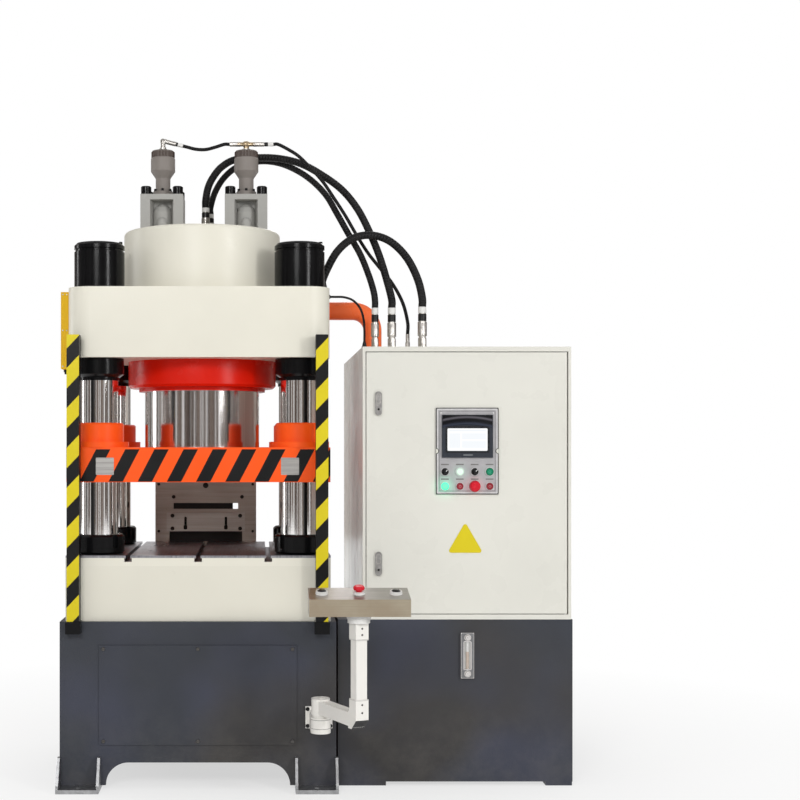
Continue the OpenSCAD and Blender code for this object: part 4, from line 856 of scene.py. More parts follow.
def studio_world(strength):
    """White seen directly and an even dimmer light for diffuse rays. Glossy rays see a room whose white
    backdrop stands between tall dark panels, which give polished metal its streaks: noise round the
    bearing, atan2(x, y), chooses between white, brown and near black."""
    world = bpy.data.worlds.new("studio")
    world.use_nodes = True
    world.node_tree.nodes.clear()
    net = Net(world.node_tree)
    direct, glossy = seen_directly(net)
    x, y, z = net.axes(net.add("ShaderNodeTexCoord").outputs["Generated"])
    bearing = net.sum("ARCTAN2", x, y)
    round_about = net.add("ShaderNodeCombineXYZ", {0: bearing}).outputs[0]
    wide = net.noise(3.1, 4.0, 0.7, round_about).carried(0.42, 0.60)
    narrow = net.noise(9.0, 4.0, 0.65, round_about).carried(0.525, 0.57)
    room = net.blend(narrow, net.blend(wide, (0.035, 0.026, 0.024), (0.20, 0.155, 0.13)), WHITE)
    # A tall pale window straight behind, pinkish low down: exp(-((bearing + 0.075) / 0.035)^2)
    window = ((bearing + 0.075) / 0.035).bell()
    pane = net.blend(z.carried(-0.10, 0.02), (0.50, 0.36, 0.32), (0.93, 0.91, 0.90))
    room = net.blend(z.carried(0.55, 0.8, 0.0, 0.5), net.blend(window, room, pane), WHITE)
    even = Value(net, net.add("ShaderNodeCombineColor", {0: strength, 1: strength, 2: strength}).outputs[0])
    colour = net.blend(direct, net.blend(glossy, even, room), WHITE)
    light = net.add("ShaderNodeBackground", {"Color": colour, "Strength": 1.0})
    net.add("ShaderNodeOutputWorld", {0: light.outputs[0]})
    bpy.context.scene.world = world


def floor_material():
    """Pale floor. Seen directly it is mostly plain white, all of it white three metres away, and what is
    left of its own shade keeps the press's soft shadow."""
    floor = Surface("studio_floor", Roughness=0.9, Specular_IOR_Level=0.1)
    drift = floor.noise(0.8).carried(0.3, 0.7)
    floor.set(Base_Color=floor.blend(drift, (0.84, 0.84, 0.83), (0.88, 0.88, 0.87)))
    direct, glossy = seen_directly(floor)
    away = floor.vector_sum("DISTANCE", floor.place(), (0.45, 0.15, 0.0))
    shown = direct.greater(glossy) * away.carried(0.6, 3.0, 0.62, 1.0)
    plain = floor.add("ShaderNodeEmission", {"Color": rgba(WHITE), "Strength": 1.0})
    mix = floor.add("ShaderNodeMixShader", {0: shown, 1: floor.shader.outputs[0], 2: plain.outputs[0]})
    floor.tree.links.new(mix.outputs[0], floor.tree.nodes["Material Output"].inputs[0])
    return floor.material


class PRESS_OT_stage(Operator):
    """Adds the floor, the lights and the camera"""

    bl_idname = "press.stage"
    bl_label = "Stage"

    def execute(self, context):
        _, _, stage = settings()
        studio_world(stage.world)
        reach, floor_top = 14.0, -0.002
        points, faces = slab_part((-reach, -reach, floor_top - 0.038), (reach, reach, floor_top))
        mesh = bpy.data.meshes.new("floor")
        mesh.from_pydata(points.tolist(), [], faces)
        floor = bpy.data.objects.new("floor", mesh)
        context.scene.collection.objects.link(floor)
        mesh.materials.append(floor_material())
        centre = (np.array(cad_low) + np.array(cad_high)) / 2
        area_light("key", stage.key, (1.8, 1.2), (-1.2, -6.4, 3.6), centre)
        area_light("fill", stage.fill, (0.8, 2.0), (4.4, -5.0, 2.9), centre)
        area_light("left_strip", stage.strip, (0.6, 3.4), (-4.8, 1.5, 2.0), centre)
        area_light("rear", 0.5 * stage.fill, (2.4, 2.4), (0.5, 4.4, 4.4), centre)
        eye = bpy.data.cameras.new("camera")
        eye.lens = stage.lens
        eye.shift_x, eye.shift_y = 0.1775, 0.056
        camera = bpy.data.objects.new("camera", eye)
        camera.location = (stage.eye_x, -stage.eye_out, stage.eye_up)
        camera.rotation_euler = (math.pi / 2, 0.0, 0.0)
        context.scene.collection.objects.link(camera)
        context.scene.camera = camera
        context.scene.view_settings.view_transform = "Standard"
        return {"FINISHED"}


# ---- Hoses ---------------------------------------------------------------------------------------

# Points that each hose passes, in metres, from its upper fitting to its lower one
HOSE_ROUTES = {
    "pressure_hose_1": [
        (0.030, 0.130, 2.270), (0.030, 0.130, 2.300), (0.050, 0.130, 2.365), (0.090, 0.130, 2.427),
        (0.150, 0.130, 2.472), (0.235, 0.125, 2.490), (0.315, 0.112, 2.480), (0.390, 0.090, 2.445),
        (0.455, 0.065, 2.395), (0.510, 0.035, 2.330), (0.552, 0, 2.250), (0.596, -0.045, 2.160),
        (0.638, -0.095, 2.075), (0.668, -0.150, 1.985), (0.685, -0.190, 1.915), (0.690, -0.200, 1.875),
        (0.690, -0.200, 1.848),
    ],
    "pressure_hose_2": [
        (0.012, 0.060, 2.285), (0.012, 0.060, 2.315), (0.022, 0.065, 2.370), (0.045, 0.072, 2.418),
        (0.080, 0.080, 2.460), (0.135, 0.087, 2.490), (0.235, 0.082, 2.497), (0.320, 0.068, 2.490),
        (0.405, 0.048, 2.465), (0.490, 0.027, 2.415), (0.570, 0, 2.350), (0.630, -0.030, 2.270),
        (0.675, -0.065, 2.175), (0.712, -0.115, 2.070), (0.740, -0.165, 1.960), (0.756, -0.200, 1.880),
        (0.756, -0.200, 1.848),
    ],
    "pressure_hose_3": [
        (0.485, -0.150, 1.942), (0.485, -0.150, 1.962), (0.505, -0.150, 2.010), (0.535, -0.150, 2.065),
        (0.570, -0.145, 2.105), (0.610, -0.140, 2.132), (0.655, -0.140, 2.143), (0.700, -0.142, 2.140),
        (0.742, -0.150, 2.124), (0.780, -0.160, 2.095), (0.815, -0.178, 2.052), (0.842, -0.198, 2.000),
        (0.862, -0.222, 1.940), (0.872, -0.240, 1.880), (0.872, -0.240, 1.848),
    ],
    "pilot_hose_long": [
        (0.291, 0, 2.535), (0.310, 0, 2.535), (0.350, 0, 2.515), (0.395, 0, 2.486),
        (0.443, -0.005, 2.437), (0.492, -0.015, 2.380), (0.537, -0.022, 2.312), (0.582, -0.032, 2.240),
        (0.626, -0.048, 2.160), (0.672, -0.065, 2.083), (0.716, -0.088, 2.022), (0.765, -0.115, 1.955),
        (0.805, -0.138, 1.875), (0.824, -0.150, 1.795), (0.824, -0.150, 1.748),
    ],
    "pilot_hose_short": [
        (-0.078, 0, 2.528), (-0.062, 0, 2.524), (-0.025, 0, 2.515), (0.015, 0, 2.514),
        (0.055, 0, 2.524), (0.090, 0, 2.535), (0.112, 0, 2.535),
    ],
    "sensor_cable": [
        (0.517, -0.150, 1.896), (0.535, -0.150, 1.896), (0.570, -0.158, 1.894), (0.605, -0.170, 1.880),
        (0.632, -0.185, 1.848), (0.645, -0.195, 1.805), (0.648, -0.200, 1.760), (0.648, -0.200, 1.716),
    ],
}


def lay_hose(name, diameter, steps, rubber, stiffness):
    """One hose: a round tube on the smooth curve through its route, mapped round and along itself."""
    route = smooth_route(HOSE_ROUTES[name], steps)
    sides = 20
    tube = tube_part(route, diameter / 2, sides)
    hose = piece(name + "_laid", [tube], rubber, "frame", sharp=60)
    mesh = hose.data
    chosen = np.empty(len(mesh.loops), dtype=np.int32)
    mesh.loops.foreach_get("vertex_index", chosen)
    run = np.concatenate([[0.0], np.cumsum(np.linalg.norm(np.diff(route, axis=0), axis=1))])
    wrap = np.column_stack([(chosen % sides) / sides, run[chosen // sides]])
    mesh.uv_layers.new(name="Wrap").data.foreach_set("uv", wrap.astype(np.float32).ravel())
    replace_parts(hose, name)
    round(route_length(route), 3)


class PRESS_OT_hoses(Operator):
    """Lays the pressure hoses, the pilot hoses and the sensor cable"""

    bl_idname = "press.hoses"
    bl_label = "Hoses and cable"

    def execute(self, context):
        _, hoses, _ = settings()
        thick = hose_rubber("wrapped_hose", 0.013)
        thin = hose_rubber("pilot_hose", 0.008)
        sizes = {
            "pressure_hose_1": (hoses.pressure_1, thick), "pressure_hose_2": (hoses.pressure_2, thick),
            "pressure_hose_3": (hoses.pressure_3, thick), "pilot_hose_long": (hoses.pilot, thin),
            "pilot_hose_short": (hoses.pilot, thin), "sensor_cable": (hoses.cable, thin),
        }
        for name, (diameter, rubber) in sizes.items():
            lay_hose(name, diameter, hoses.steps, rubber, "medium" if name == "sensor_cable" else "stiff")
        return {"FINISHED"}


# ---- Finishes of the machined and painted parts --------------------------------------------------


def painted_finishes(paint):
    """Each enamel of the press and the CAD nodes that wear it."""
    cover = rear_cover(paint.cabinet, "cabinet_shell", 0.055, 0.0035)
    base_tones = mottled(paint.navy, (0.052, 0.056, 0.078), (0.046, 0.044, 0.044))
    _, slide_low, slide_high = middle("slide")
    slide_front = (1, -1.0, slide_low[1] + 0.0015)
    slide_face = (2, slide_low[2] + 0.002, slide_high[2] - 0.007)
    post_front = (1, -1.0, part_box("safety_posts")[0][1] + 0.0015)
    door = enamel("door_enamel", paint.cabinet, gloss=0.28, dust=0.02, peel=0.5, shine=0.2)
    return {
        enamel("cream_enamel", paint.cream, gloss=0.32, dust=0.06): ("lower_beam", "crown", "main_cylinder"),
        enamel("cabinet_enamel", paint.cabinet, gloss=0.20, dust=0.02, peel=0.5, shine=0.45, under=cover): (
            "cabinet_shell",
        ),
        lit_by_controls(door): ("door",),
        enamel("base_enamel", paint.navy, gloss=0.40, dust=0.10, under=base_tones): (
            "base_frame", "base_access_panel", "oil_tank",
        ),
        enamel("slide_enamel", paint.orange, gloss=0.34, dust=0.03): ("guide_bushes",),
        striped_enamel(
            "slide_bands", paint.black, paint.orange, slant=(1.0, 0.0, -0.52), period=0.1116, share=0.492,
            shift=0.8387, window=(slide_front, slide_face), outside=paint.orange, gloss=0.34, dust=0.03,
        ): ("slide",),
        striped_enamel(
            "post_bands", paint.black, paint.yellow, slant=(1.06, 0.0, -1.0), period=0.1505, share=0.49,
            shift=2.1925, window=(post_front,), outside=paint.black, step=-1.0796, gloss=0.36, dust=0.03,
        ): ("safety_posts",),
        enamel("black_enamel", paint.black, gloss=0.16, dust=0.01, shine=0.15): (
            "column_lower_nuts", "column_collars", "column_cap_nuts", "post_brackets", "valve_cap_screws",
        ),
        enamel("gland_enamel", paint.gland, gloss=0.24, dust=0.01, shine=0.2): ("gland_ring",),
        enamel("pipe_enamel", paint.pipe, gloss=0.28, dust=0.06): ("return_pipe",),
        enamel("side_box_enamel", paint.amber, gloss=0.4, dust=0.03, shine=0.08): ("side_junction_box",),
        enamel("valve_casting", paint.valve, gloss=0.45, dust=0.15, peel=3.0): ("prefill_valves",),
        enamel("valve_head_casting", paint.head, gloss=0.42, dust=0.15, peel=3.0): ("valve_heads",),
        enamel("arm_powder_coat", paint.white, gloss=0.35, dust=0.06, peel=2.0): (
            "console_bracket", "console_arm", "console_riser",
        ),
        enamel("motor_enamel", (0.16, 0.20, 0.26), gloss=0.4): ("pump_motor",),
    }


# Bare metals: tone, darker tone, roughness range, stretch of the scratches, relief, rust specks, nodes
METALS = {
    "column_chrome": (
        (0.97, 0.955, 0.945), (0.86, 0.84, 0.82), (0.04, 0.09), (120, 120, 1.2), 0.000004, 0, ("columns",),
    ),
    "hard_chrome": (
        (0.78, 0.76, 0.75), (0.62, 0.59, 0.57), (0.09, 0.15), (120, 120, 1.2), 0.000004, 0,
        ("ram", "level_gauge"),
    ),
    "latch_zinc": (
        (0.52, 0.51, 0.50), (0.30, 0.295, 0.285), (0.26, 0.42), (60, 60, 60), 0.00002, 0,
        ("latch_upper", "latch_lower"),
    ),
    "zinc_plate": (
        (0.52, 0.53, 0.54), (0.28, 0.28, 0.29), (0.30, 0.55), (40, 40, 40), 0.0001, 0.6,
        ("anchor_feet", "mounting_panel", "door_hinges"),
    ),
    "ground_table": (
        (0.42, 0.42, 0.45), (0.20, 0.20, 0.215), (0.26, 0.40), (160, 4, 4), 0.000003, 0, ("table_plate",),
    ),
    "gate_steel": (
        (0.39, 0.335, 0.29), (0.28, 0.235, 0.20), (0.36, 0.52), (3, 40, 90), 0.00003, 0.5, ("gate_frame",),
    ),
    "shutter_steel": (
        (0.42, 0.375, 0.33), (0.31, 0.27, 0.235), (0.34, 0.50), (3, 40, 90), 0.00003, 0.4, ("gate_shutter",),
    ),
    "turned_steel": (
        (0.58, 0.57, 0.54), (0.36, 0.35, 0.33), (0.22, 0.40), (3, 3, 500), 0.00004, 0,
        ("crown_fittings", "cabinet_fittings", "valve_manifold"),
    ),
}

# Plastics: tone, roughness, glow, nodes
PLASTICS = {
    "panel_silver": ((0.42, 0.41, 0.42), 0.34, 0, ("control_panel_frame",)),
    "screen_bezel": ((0.028, 0.033, 0.044), 0.36, 0, ("touch_screen",)),
    "lamp_lens": ((0.62, 0.86, 0.66), 0.18, 0.5, ("pilot_lamp",)),
    "control_black": (
        (0.012, 0.012, 0.013), 0.36, 0, ("selector_1", "selector_2", "palm_button_left", "palm_button_right"),
    ),
    "button_green": ((0.012, 0.24, 0.125), 0.28, 0, ("green_button",)),
    "button_lit_green": ((0.10, 0.85, 0.28), 0.22, 1.4, ("lit_green_button",)),
    "button_red": ((0.30, 0.022, 0.034), 0.28, 0, ("red_button_1", "red_button_2")),
    "stop_red": ((0.66, 0.012, 0.028), 0.24, 0, ("panel_estop", "console_estop")),
}


class PRESS_OT_finishes(Operator):
    """Paints, plates and prints every part of the press that keeps its machined shape"""

    bl_idname = "press.finishes"
    bl_label = "Finishes"

    def execute(self, context):
        paint, _, _ = settings()
        finishes = painted_finishes(paint)
        made = {}
        for name, (*values, nodes) in METALS.items():
            made[name] = metal(name, *values)
            finishes[made[name]] = nodes
        for name, (colour, rough, glow, nodes) in PLASTICS.items():
            made[name] = plastic(name, colour, rough, glow=glow)
            finishes[made[name]] = nodes
        finishes[console_steel("console_steel")] = ("console_box",)
        finishes[dark_screw()] = ("panel_screws",)
        painted_below(made["ground_table"], "table_plate", paint.cream, 0.009)
        slot_shade(made["gate_steel"], 0.088, 0.0075, 0.0165)
        lit_by_controls(made["panel_silver"])
        for material, nodes in finishes.items():
            for node in nodes:
                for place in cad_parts[node].material_slots:
                    place.material = material
        return {"FINISHED"}


# ---- Hose ends and hydraulic fittings ------------------------------------------------------------

HEAD_RADIUS = 0.0495  # of a valve head

# A hose, the end of its route, and the height of the crimped end that stands behind it
HOSE_ENDS = (
    ("pressure_hose_1", 0, 0.105, "crown_fittings"), ("pressure_hose_2", 0, 0.120, "crown_fittings"),
    ("pressure_hose_1", -1, 0.164, "cabinet_fittings"), ("pressure_hose_2", -1, 0.164, "cabinet_fittings"),
    ("pressure_hose_3", -1, 0.164, "cabinet_fittings"),
)

# A pilot hose, the end of its route, and how far behind it lie the two ends of its nut, the two of its
# black ring and the end of its white sleeve
PILOT_ENDS = (
    ("pilot_hose_short", 0, (0.030, 0.064, 0.023, 0.029, 0.022)),
    ("pilot_hose_short", -1, (0.0005, 0.046, 0, 0, 0)),
    ("pilot_hose_long", 0, (0.038, 0.084, 0.023, 0.037, 0.022)),
)


def route_end(name, end):
    """The end of a route and the unit step that leads on from it, away from the hose."""
    route = np.asarray(HOSE_ROUTES[name], float)
    step = route[end] - route[1 if end == 0 else -2]
    return route[end], step / np.linalg.norm(step)


class Fittings:
    """The parts of the hose ends on one CAD node, by finish."""

    def __init__(self, node):
        self.node = node
        self.parts = {"silver": [], "black": [], "white": []}

    def aim(self, start, direction, **parts):
        """Adds parts, given by finish, that stand on a start along a direction."""
        for finish, made in parts.items():
            self.parts[finish] += aimed(start, direction, *made)

    def stand(self, place, *parts, axis="Z"):
        """Adds silver parts laid along an axis at a place."""
        self.parts["silver"] += [placed(part, place, axis) for part in parts]

    def crimped_end(self, place, away, h, radius):
        """A hexagonal nut, a pressed ferrule, a black ring and a white sleeve, one above the other."""
        self.aim(
            place + away * h, -away,
            silver=[
                rod_part(radius - 0.002, 0.0, h, 32),
                hexagon_part(radius + 0.0025, 0.0, 0.26 * h, 0.004, 0.3),
                crimped_part(radius + 0.0025, 0.30 * h, 0.64 * h),
            ],
            black=[collar_part(radius - 0.002, radius + 0.001, 0.66 * h, 0.83 * h)],
            white=[collar_part(radius - 0.002, radius + 0.0005, 0.85 * h, h - 0.0005)],
        )

    def pilot_end(self, place, away, marks):
        """A small hose end between the marks of PILOT_ENDS."""
        nut_from, nut_to, ring_from, ring_to, sleeve_to = marks
        self.aim(
            place, away,
            silver=[hexagon_part(0.0095, nut_from, nut_to, 0.0025)],
            black=[collar_part(0.006, 0.0085, ring_from, ring_to)] if ring_to else [],
            white=[collar_part(0.006, 0.0080, 0.0005, sleeve_to)] if sleeve_to else [],
        )

    def build(self):
        """One piece for each finish."""
        for finish, material in (("silver", nickel()), ("black", trim_black()), ("white", trim_white())):
            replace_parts(piece(self.node + "_" + finish, self.parts[finish], material), self.node)


def head_places():
    """Where the axes of the two valve heads stand, left first, and the height of their tops."""
    _, low, high = middle("valve_heads")
    return (low[0] + HEAD_RADIUS, high[0] - HEAD_RADIUS), high[2]


def add_elbow_and_tee(crown):
    """An elbow on the left head and a tee on the right one, each on a hexagon. Returns the tee's parts."""
    (left, right), top = head_places()
    start, back = route_end("pilot_hose_short", 0)
    elbow_z = top + 0.042
    tee_x, _, tee_z = HOSE_ROUTES["pilot_hose_short"][-1]
    bend = [
        (left, 0, top + 0.004), (left, 0, elbow_z - 0.018), (left + 0.001, 0, elbow_z - 0.007),
        (left + 0.008, 0, elbow_z - 0.001), tuple(start + back * 0.064), tuple(start + back * 0.030),
    ]
    crown.stand((0, 0, 0), tube_part(smooth_route(bend, 6), 0.0095, 20))
    crown.aim(start, back, silver=[rod_part(0.006, 0.0, 0.035)])
    boss = hexagon_part(0.017, 0.0, 0.010, 0.002)
    crown.stand((left, 0, top), boss, collar_part(0.008, 0.0125, 0.010, 0.017))
    knob = [(0.011, -0.007), (0.011, 0.0), (0.0095, 0.006), (0.005, 0.0095), (0.001, 0.011)]
    crown.stand((left, 0, elbow_z), lathe_part(knob))
    crown.stand((right, 0, top), boss)
    crown.stand((0, 0, tee_z), rod_part(0.006, tee_x, HOSE_ROUTES["pilot_hose_long"][0][0], 24), axis="X")
    half = [(0.0085, 0.036), (0.0085, 0.014), (0.011, 0.011), (0.013, 0.005)]
    across = [(r, -x) for r, x in half] + half[::-1]
    stem = [(0.011, 0.010), (0.011, 0.024), (0.009, 0.030)]
    return [
        placed(lathe_part(across, 32), (right, 0, tee_z), "X"), placed(lathe_part(stem, 32), (right, 0, top)),
    ]


class PRESS_OT_fittings(Operator):
    """Makes the crimped hose ends, the pilot elbow and tee, and the cable glands"""

    bl_idname = "press.fittings"
    bl_label = "Fittings"

    def execute(self, context):
        _, hoses, _ = settings()
        made = {node: Fittings(node) for node in ("crown_fittings", "cabinet_fittings")}
        crown, cabinet = made.values()
        for name, end, height, node in HOSE_ENDS:
            radius = getattr(hoses, name.replace("_hose", "")) / 2
            made[node].crimped_end(*route_end(name, end), height, radius)
        for name, end, marks in PILOT_ENDS:
            crown.pilot_end(*route_end(name, end), marks)

        # Union of the third hose, pressed into the crown
        place, away = route_end("pressure_hose_3", 0)
        crown.aim(
            place + away * 0.030, -away,
            silver=[hexagon_part(0.018, 0.0, 0.016, 0.003), rod_part(0.0155, 0.0, 0.030)],
            black=[collar_part(0.012, 0.0175, 0.018, 0.0295)],
        )
        tee = add_elbow_and_tee(crown)

        # Glands of the sensor cable, and the lower end of the long pilot hose
        place, away = route_end("sensor_cable", 0)
        crown.aim(
            place + away * 0.012, -away,
            black=[hexagon_part(0.010, 0.0, 0.007, 0.001), dome_part(0.0085, 0.007, 0.0125)],
        )
        place, away = route_end("sensor_cable", -1)
        ribs = [(0.0095 - 0.0004 * i - 0.0006 * (i % 2), 0.013 + 0.0018 * i) for i in range(10)]
        sleeve = lathe_part(ribs + [(0.0055, 0.0315)])
        cabinet.aim(place + away * 0.032, -away, black=[hexagon_part(0.011, 0.0, 0.012, 0.0015), sleeve])
        place, away = route_end("pilot_hose_long", -1)
        cabinet.aim(
            place + away * 0.064, -away,
            silver=[
                hexagon_part(0.009, 0.0, 0.032, 0.002), crimped_part(0.0076, 0.033, 0.0635, 6),
                rod_part(0.006, 0.0, 0.0635),
            ],
        )
        for fittings in made.values():
            fittings.build()
        worn = plated("worn_brass", (0.62, 0.50, 0.33), (0.42, 0.32, 0.20), (0.24, 0.42))
        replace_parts(piece("pilot_tee", tee, worn), "crown_fittings")
        return {"FINISHED"}


class PRESS_OT_valves(Operator):
    """Puts knurled caps and flange screws on the valve heads"""

    bl_idname = "press.valves"
    bl_label = "Valve caps"

    def execute(self, context):
        t = circle_turns(240)
        knurl = 0.0470 + 0.0009 * np.cos(48 * t)
        level = np.ones(len(t))
        band = np.stack([0.0468 * level, knurl, knurl, 0.0462 * level])
        places, top = head_places()
        flange = middle("valve_heads")[1][2] + 0.022
        caps, lids, screws = [], [], []
        for x in places:
            cap = grid_part(turned_rows(band, [-0.0275, -0.0265, -0.0045, -0.0032], t))
            lid = lathe_part([(0.0464, -0.0035), (0.0436, 0.0004), (0.018, 0.0004)])
            caps.append(placed(cap, (x, 0, top)))
            lids.append(placed(lid, (x, 0, top)))
            for turn in circle_turns(6):
                foot = (x + 0.0355 * math.sin(turn), -0.0355 * math.cos(turn), flange)
                screw = lathe_part([(0.0050, 0.0), (0.0050, 0.0088), (0.0042, 0.0098)], 20)
                screws += [placed(screw, foot), placed(collar_part(0.0050, 0.0064, 0.0, 0.0012), foot)]
        piece("valve_cap_bands", caps, enamel("cap_casting", (0.050, 0.030, 0.024), gloss=0.5, dust=0.1))
        piece("valve_cap_lids", lids, enamel("cap_lid", (0.085, 0.070, 0.063), gloss=0.45, dust=0.1))
        piece("valve_flange_screws", screws, trim_black())
        return {"FINISHED"}


# ---- Door, control panel and gauge ---------------------------------------------------------------


class PRESS_OT_door_trim(Operator):
    """Fixes the plain triangle plate on the door, the keyholes in the latches and the seam of the cabinet"""

    bl_idname = "press.door_trim"
    bl_label = "Door trim"

    def execute(self, context):
        paint, _, _ = settings()
        mid, low, _ = middle("door")
        reach = 0.136 / math.sqrt(3)
        corners = [(math.cos(t) * reach, math.sin(t) * reach) for t in math.pi / 2 + circle_turns(3)]
        outer, inner = rounded_polygon(corners, 0.008), rounded_polygon(0.86 * np.array(corners), 0.005)
        parts = prism_part(outer, 0.0, 0.0012), rim_part(outer, inner, 0.0012, 0.0020)
        yellow = enamel("plate_yellow", paint.yellow, gloss=0.3, dust=0.05)
        plate = on_front((mid[0] - 0.007, low[1], low[2] + 0.273), *parts)
        piece("triangle_plate", plate, yellow, "door", bevel=0.0003)

        for node, body in (("latch_upper", "upper_latch"), ("latch_lower", "lower_latch")):
            mid, low, _ = middle(node)
            # The keyhole is a black slot and disc on the latch's face: painted shade of the hole
            slot, hole = plate_part(0.0022, 0.0085, 0.001, 0.0, 0.0003, 3), rod_part(0.0044, 0.0, 0.0003, 24)
            keyhole_shade = on_front((mid[0], low[1], mid[2] - 0.023), slot, hole)
            piece(node + "_keyhole", keyhole_shade, trim_black(), body)
            grip = frame_part(0.0185, 0.0385, 0.009, 0.00225, 0.0068, 0.0, 0.0009, 8)
            recess = (mid[0], low[1] + 0.0027, mid[2] + 0.018)
            piece(node + "_rim", on_front(recess, grip), nickel(), body, bevel=0.0002)
        _, low, high = middle("cabinet_shell")
        back = low[1] + 0.829
        seam = slab_part((low[0] - 0.0004, back, low[2] + 0.02), (low[0], back + 0.003, high[2] - 0.02))
        piece("cabinet_side_seam", [seam], trim_black())
        return {"FINISHED"}


# The controls of the panel: outer radius of the ring, its material and that one's tone, roughness, glow
RINGS = {
    "selector_1": (0.0142, "trim_black", (0.008, 0.008, 0.009), 0.32, 0),
    "selector_2": (0.0142, "trim_black", (0.008, 0.008, 0.009), 0.32, 0),
    "pilot_lamp": (0.0150, "lamp_ring", (0.60, 0.78, 0.68), 0.25, 0),
    "green_button": (0.0152, "ring_green", (0.006, 0.15, 0.075), 0.3, 0),
    "lit_green_button": (0.0155, "ring_lit_green", (0.06, 0.72, 0.40), 0.3, 1.0),
    "red_button_1": (0.0136, "ring_red", (0.20, 0.010, 0.012), 0.3, 0),
    "red_button_2": (0.0140, "ring_red", (0.20, 0.010, 0.012), 0.3, 0),
    # The e-stop's pink ring is a painted highlight on the rim of its red mushroom
    "panel_estop": (0.0225, "estop_ring_highlight", (0.62, 0.10, 0.13), 0.35, 0),
}

# The pale marks on the faces of controls, with the body each rides on
BUTTON_CENTRES = {
    "red_button_1": ("left_red_push", "button_centre_red", (0.50, 0.17, 0.18)),
    "red_button_2": ("right_red_push", "button_centre_red", (0.50, 0.17, 0.18)),
    "green_button": ("green_push", "button_centre_green", (0.05, 0.38, 0.22)),
}
POINTERS = {"selector_1": "left_selector", "selector_2": "right_selector"}


def frame_panel(mid, front, w, h, bright):
    """The dark joint round the control panel, which also paints the shade of its recess, and its dark lines,
    of which the strip along the top is a painted shadow; the pale rim inside it and four screws.
    """
    x, z = mid[0], mid[2]
    dark = on_front(
        (x, front, z), frame_part(w, h, 0.004, 0.003, 0.003, -0.004, 0.0007, 4),
        frame_part(w - 0.025, h - 0.025, 0.003, 0.0011, 0.002, -0.001, 0.00025, 4),
    )
    # A dark strip under the top edge: painted shadow of the recess's top wall
    dark += on_front((x, front, z + h / 2 - 0.0055), plate_part(w - 0.004, 0.0035, 0.0005, 0.0, 0.0007, 2))
    piece("panel_joint_and_shade", dark, trim_black(), "door")
    rims = on_front((x, front, z), frame_part(w - 0.0065, h - 0.0065, 0.003, 0.005, 0.003, -0.001, 0.0009, 4))
    for dx, dz in product(SIDES, SIDES):
        place = (x + dx * (w / 2 - 0.020), front, z + dz * (h / 2 - 0.0205))
        rims += on_front(place, dome_part(0.0035, 0.0, 0.0018, 20))
    piece("panel_rim", rims, bright, "door", bevel=0.0003)


def dress_screen():
    """A glossy visor over the touch screen and a framed, lit display with a blank tag below it."""
    mid, low, high = middle("touch_screen")
    half = (high[0] - low[0]) / 2 - 0.002
    arc = np.linspace(-1.0, 1.0, 25)
    lower_edge = -0.050 + 0.010 * (1 - arc**2)
    outline = [*zip(half * arc, lower_edge), (half, -0.002), (-half, -0.002)]
    visor = on_front((mid[0], low[1], high[2]), prism_part(outline, 0.0, 0.0012))
    piece("screen_visor", visor, visor_gloss("visor_gloss"), "door", bevel=0.0004)
    rim = on_front(display_centre(), frame_part(0.168, 0.101, 0.006, 0.0055, 0.004, 0.0, 0.0012))
    piece("screen_rim", rim, plastic("screen_frame", (0.016, 0.017, 0.020), 0.3), "door", bevel=0.0004)
    glass = on_front(display_centre(), plate_part(0.153, 0.086, 0.004, -0.0014, 0.0005))
    piece("screen_glass", glass, lit_screen("lit_screen"), "door")
    tag = on_front((mid[0] + 0.002, low[1], low[2] + 0.010), plate_part(0.036, 0.0055, 0.001, 0.0, 0.0005))
    piece("screen_tag", tag, plastic("grey_print", (0.16, 0.17, 0.18), 0.4), "door")


def ring_controls(front, ring_front, bright):
    """A coloured ring in a pale sleeve round each control of the panel, and a blank tag above it."""
    tags, sleeves = [], []
    for node, (radius, material, colour, rough, glow) in RINGS.items():
        x, _, z = middle(node)[0]
        ring = collar_part(0.0116, radius, 0.0, 0.0016, 0.0006)
        if node == "panel_estop":
            # Low enough that the pressed mushroom stays clear of it
            ring = collar_part(0.0150, radius, -0.0050, -0.0044, 0.0002)
        tone = shared(material, plastic, colour, rough, glow=glow)
        piece(node + "_ring", on_front((x, ring_front, z), ring), tone, "door")
        sleeves += on_front((x, ring_front, z), collar_part(radius, radius + 0.0022, -0.0045, SKIN, 0.0004))
        tags += on_front((x, front, z + 0.0275), plate_part(0.030, 0.0050, 0.0008, 0.0, 0.0004, 3))
    piece("control_sleeves", sleeves, bright, "door")
    piece("control_tags", tags, plastic("tag_grey", (0.20, 0.195, 0.19), 0.4), "door")


def mark_controls():
    """A white pointer on each selector and a pale disc on each flat button."""
    for node, body in POINTERS.items():
        mid, low, _ = middle(node)
        bar = slab_part((-0.0011, 0.002, 0.0), (0.0011, 0.0112, 0.0006))
        bar = placed(bar, (mid[0], low[1], mid[2]), "-Y", -math.pi / 4)
        piece(node + "_pointer", [bar], shared("pointer_white", plastic, (0.85, 0.85, 0.84), 0.4), body)
    for node, (body, material, colour) in BUTTON_CENTRES.items():
        mid, low, _ = middle(node)
        disc = on_front((mid[0], low[1], mid[2]), collar_part(0.0028, 0.0052, 0.0, 0.0005, 0.0002, 28))
        piece(node + "_centre", disc, shared(material, plastic, colour, 0.3), body)


def notch_panel(mid, front, w):
    """Finger notches in the sides of the panel: a half circle of door colour with a dark edge, which paints
    the shade inside the notch.
    """
    t = np.linspace(-math.pi / 2, math.pi / 2, 17)
    fills, edges = [], []
    for side in SIDES:
        place = (mid[0] + side * w / 2, front, mid[2])
        arc = -side * np.column_stack([np.cos(t), np.sin(t)])
        fills += on_front(place, prism_part(0.0090 * arc, -0.0055, 0.0011))
        edges += on_front(place, rim_part(0.0115 * arc, 0.0090 * arc, -0.0055, 0.0014))
    piece("notch_fills", fills, bpy.data.materials["door_enamel"], "door")
    piece("notch_shade_edges", edges, trim_black(), "door")


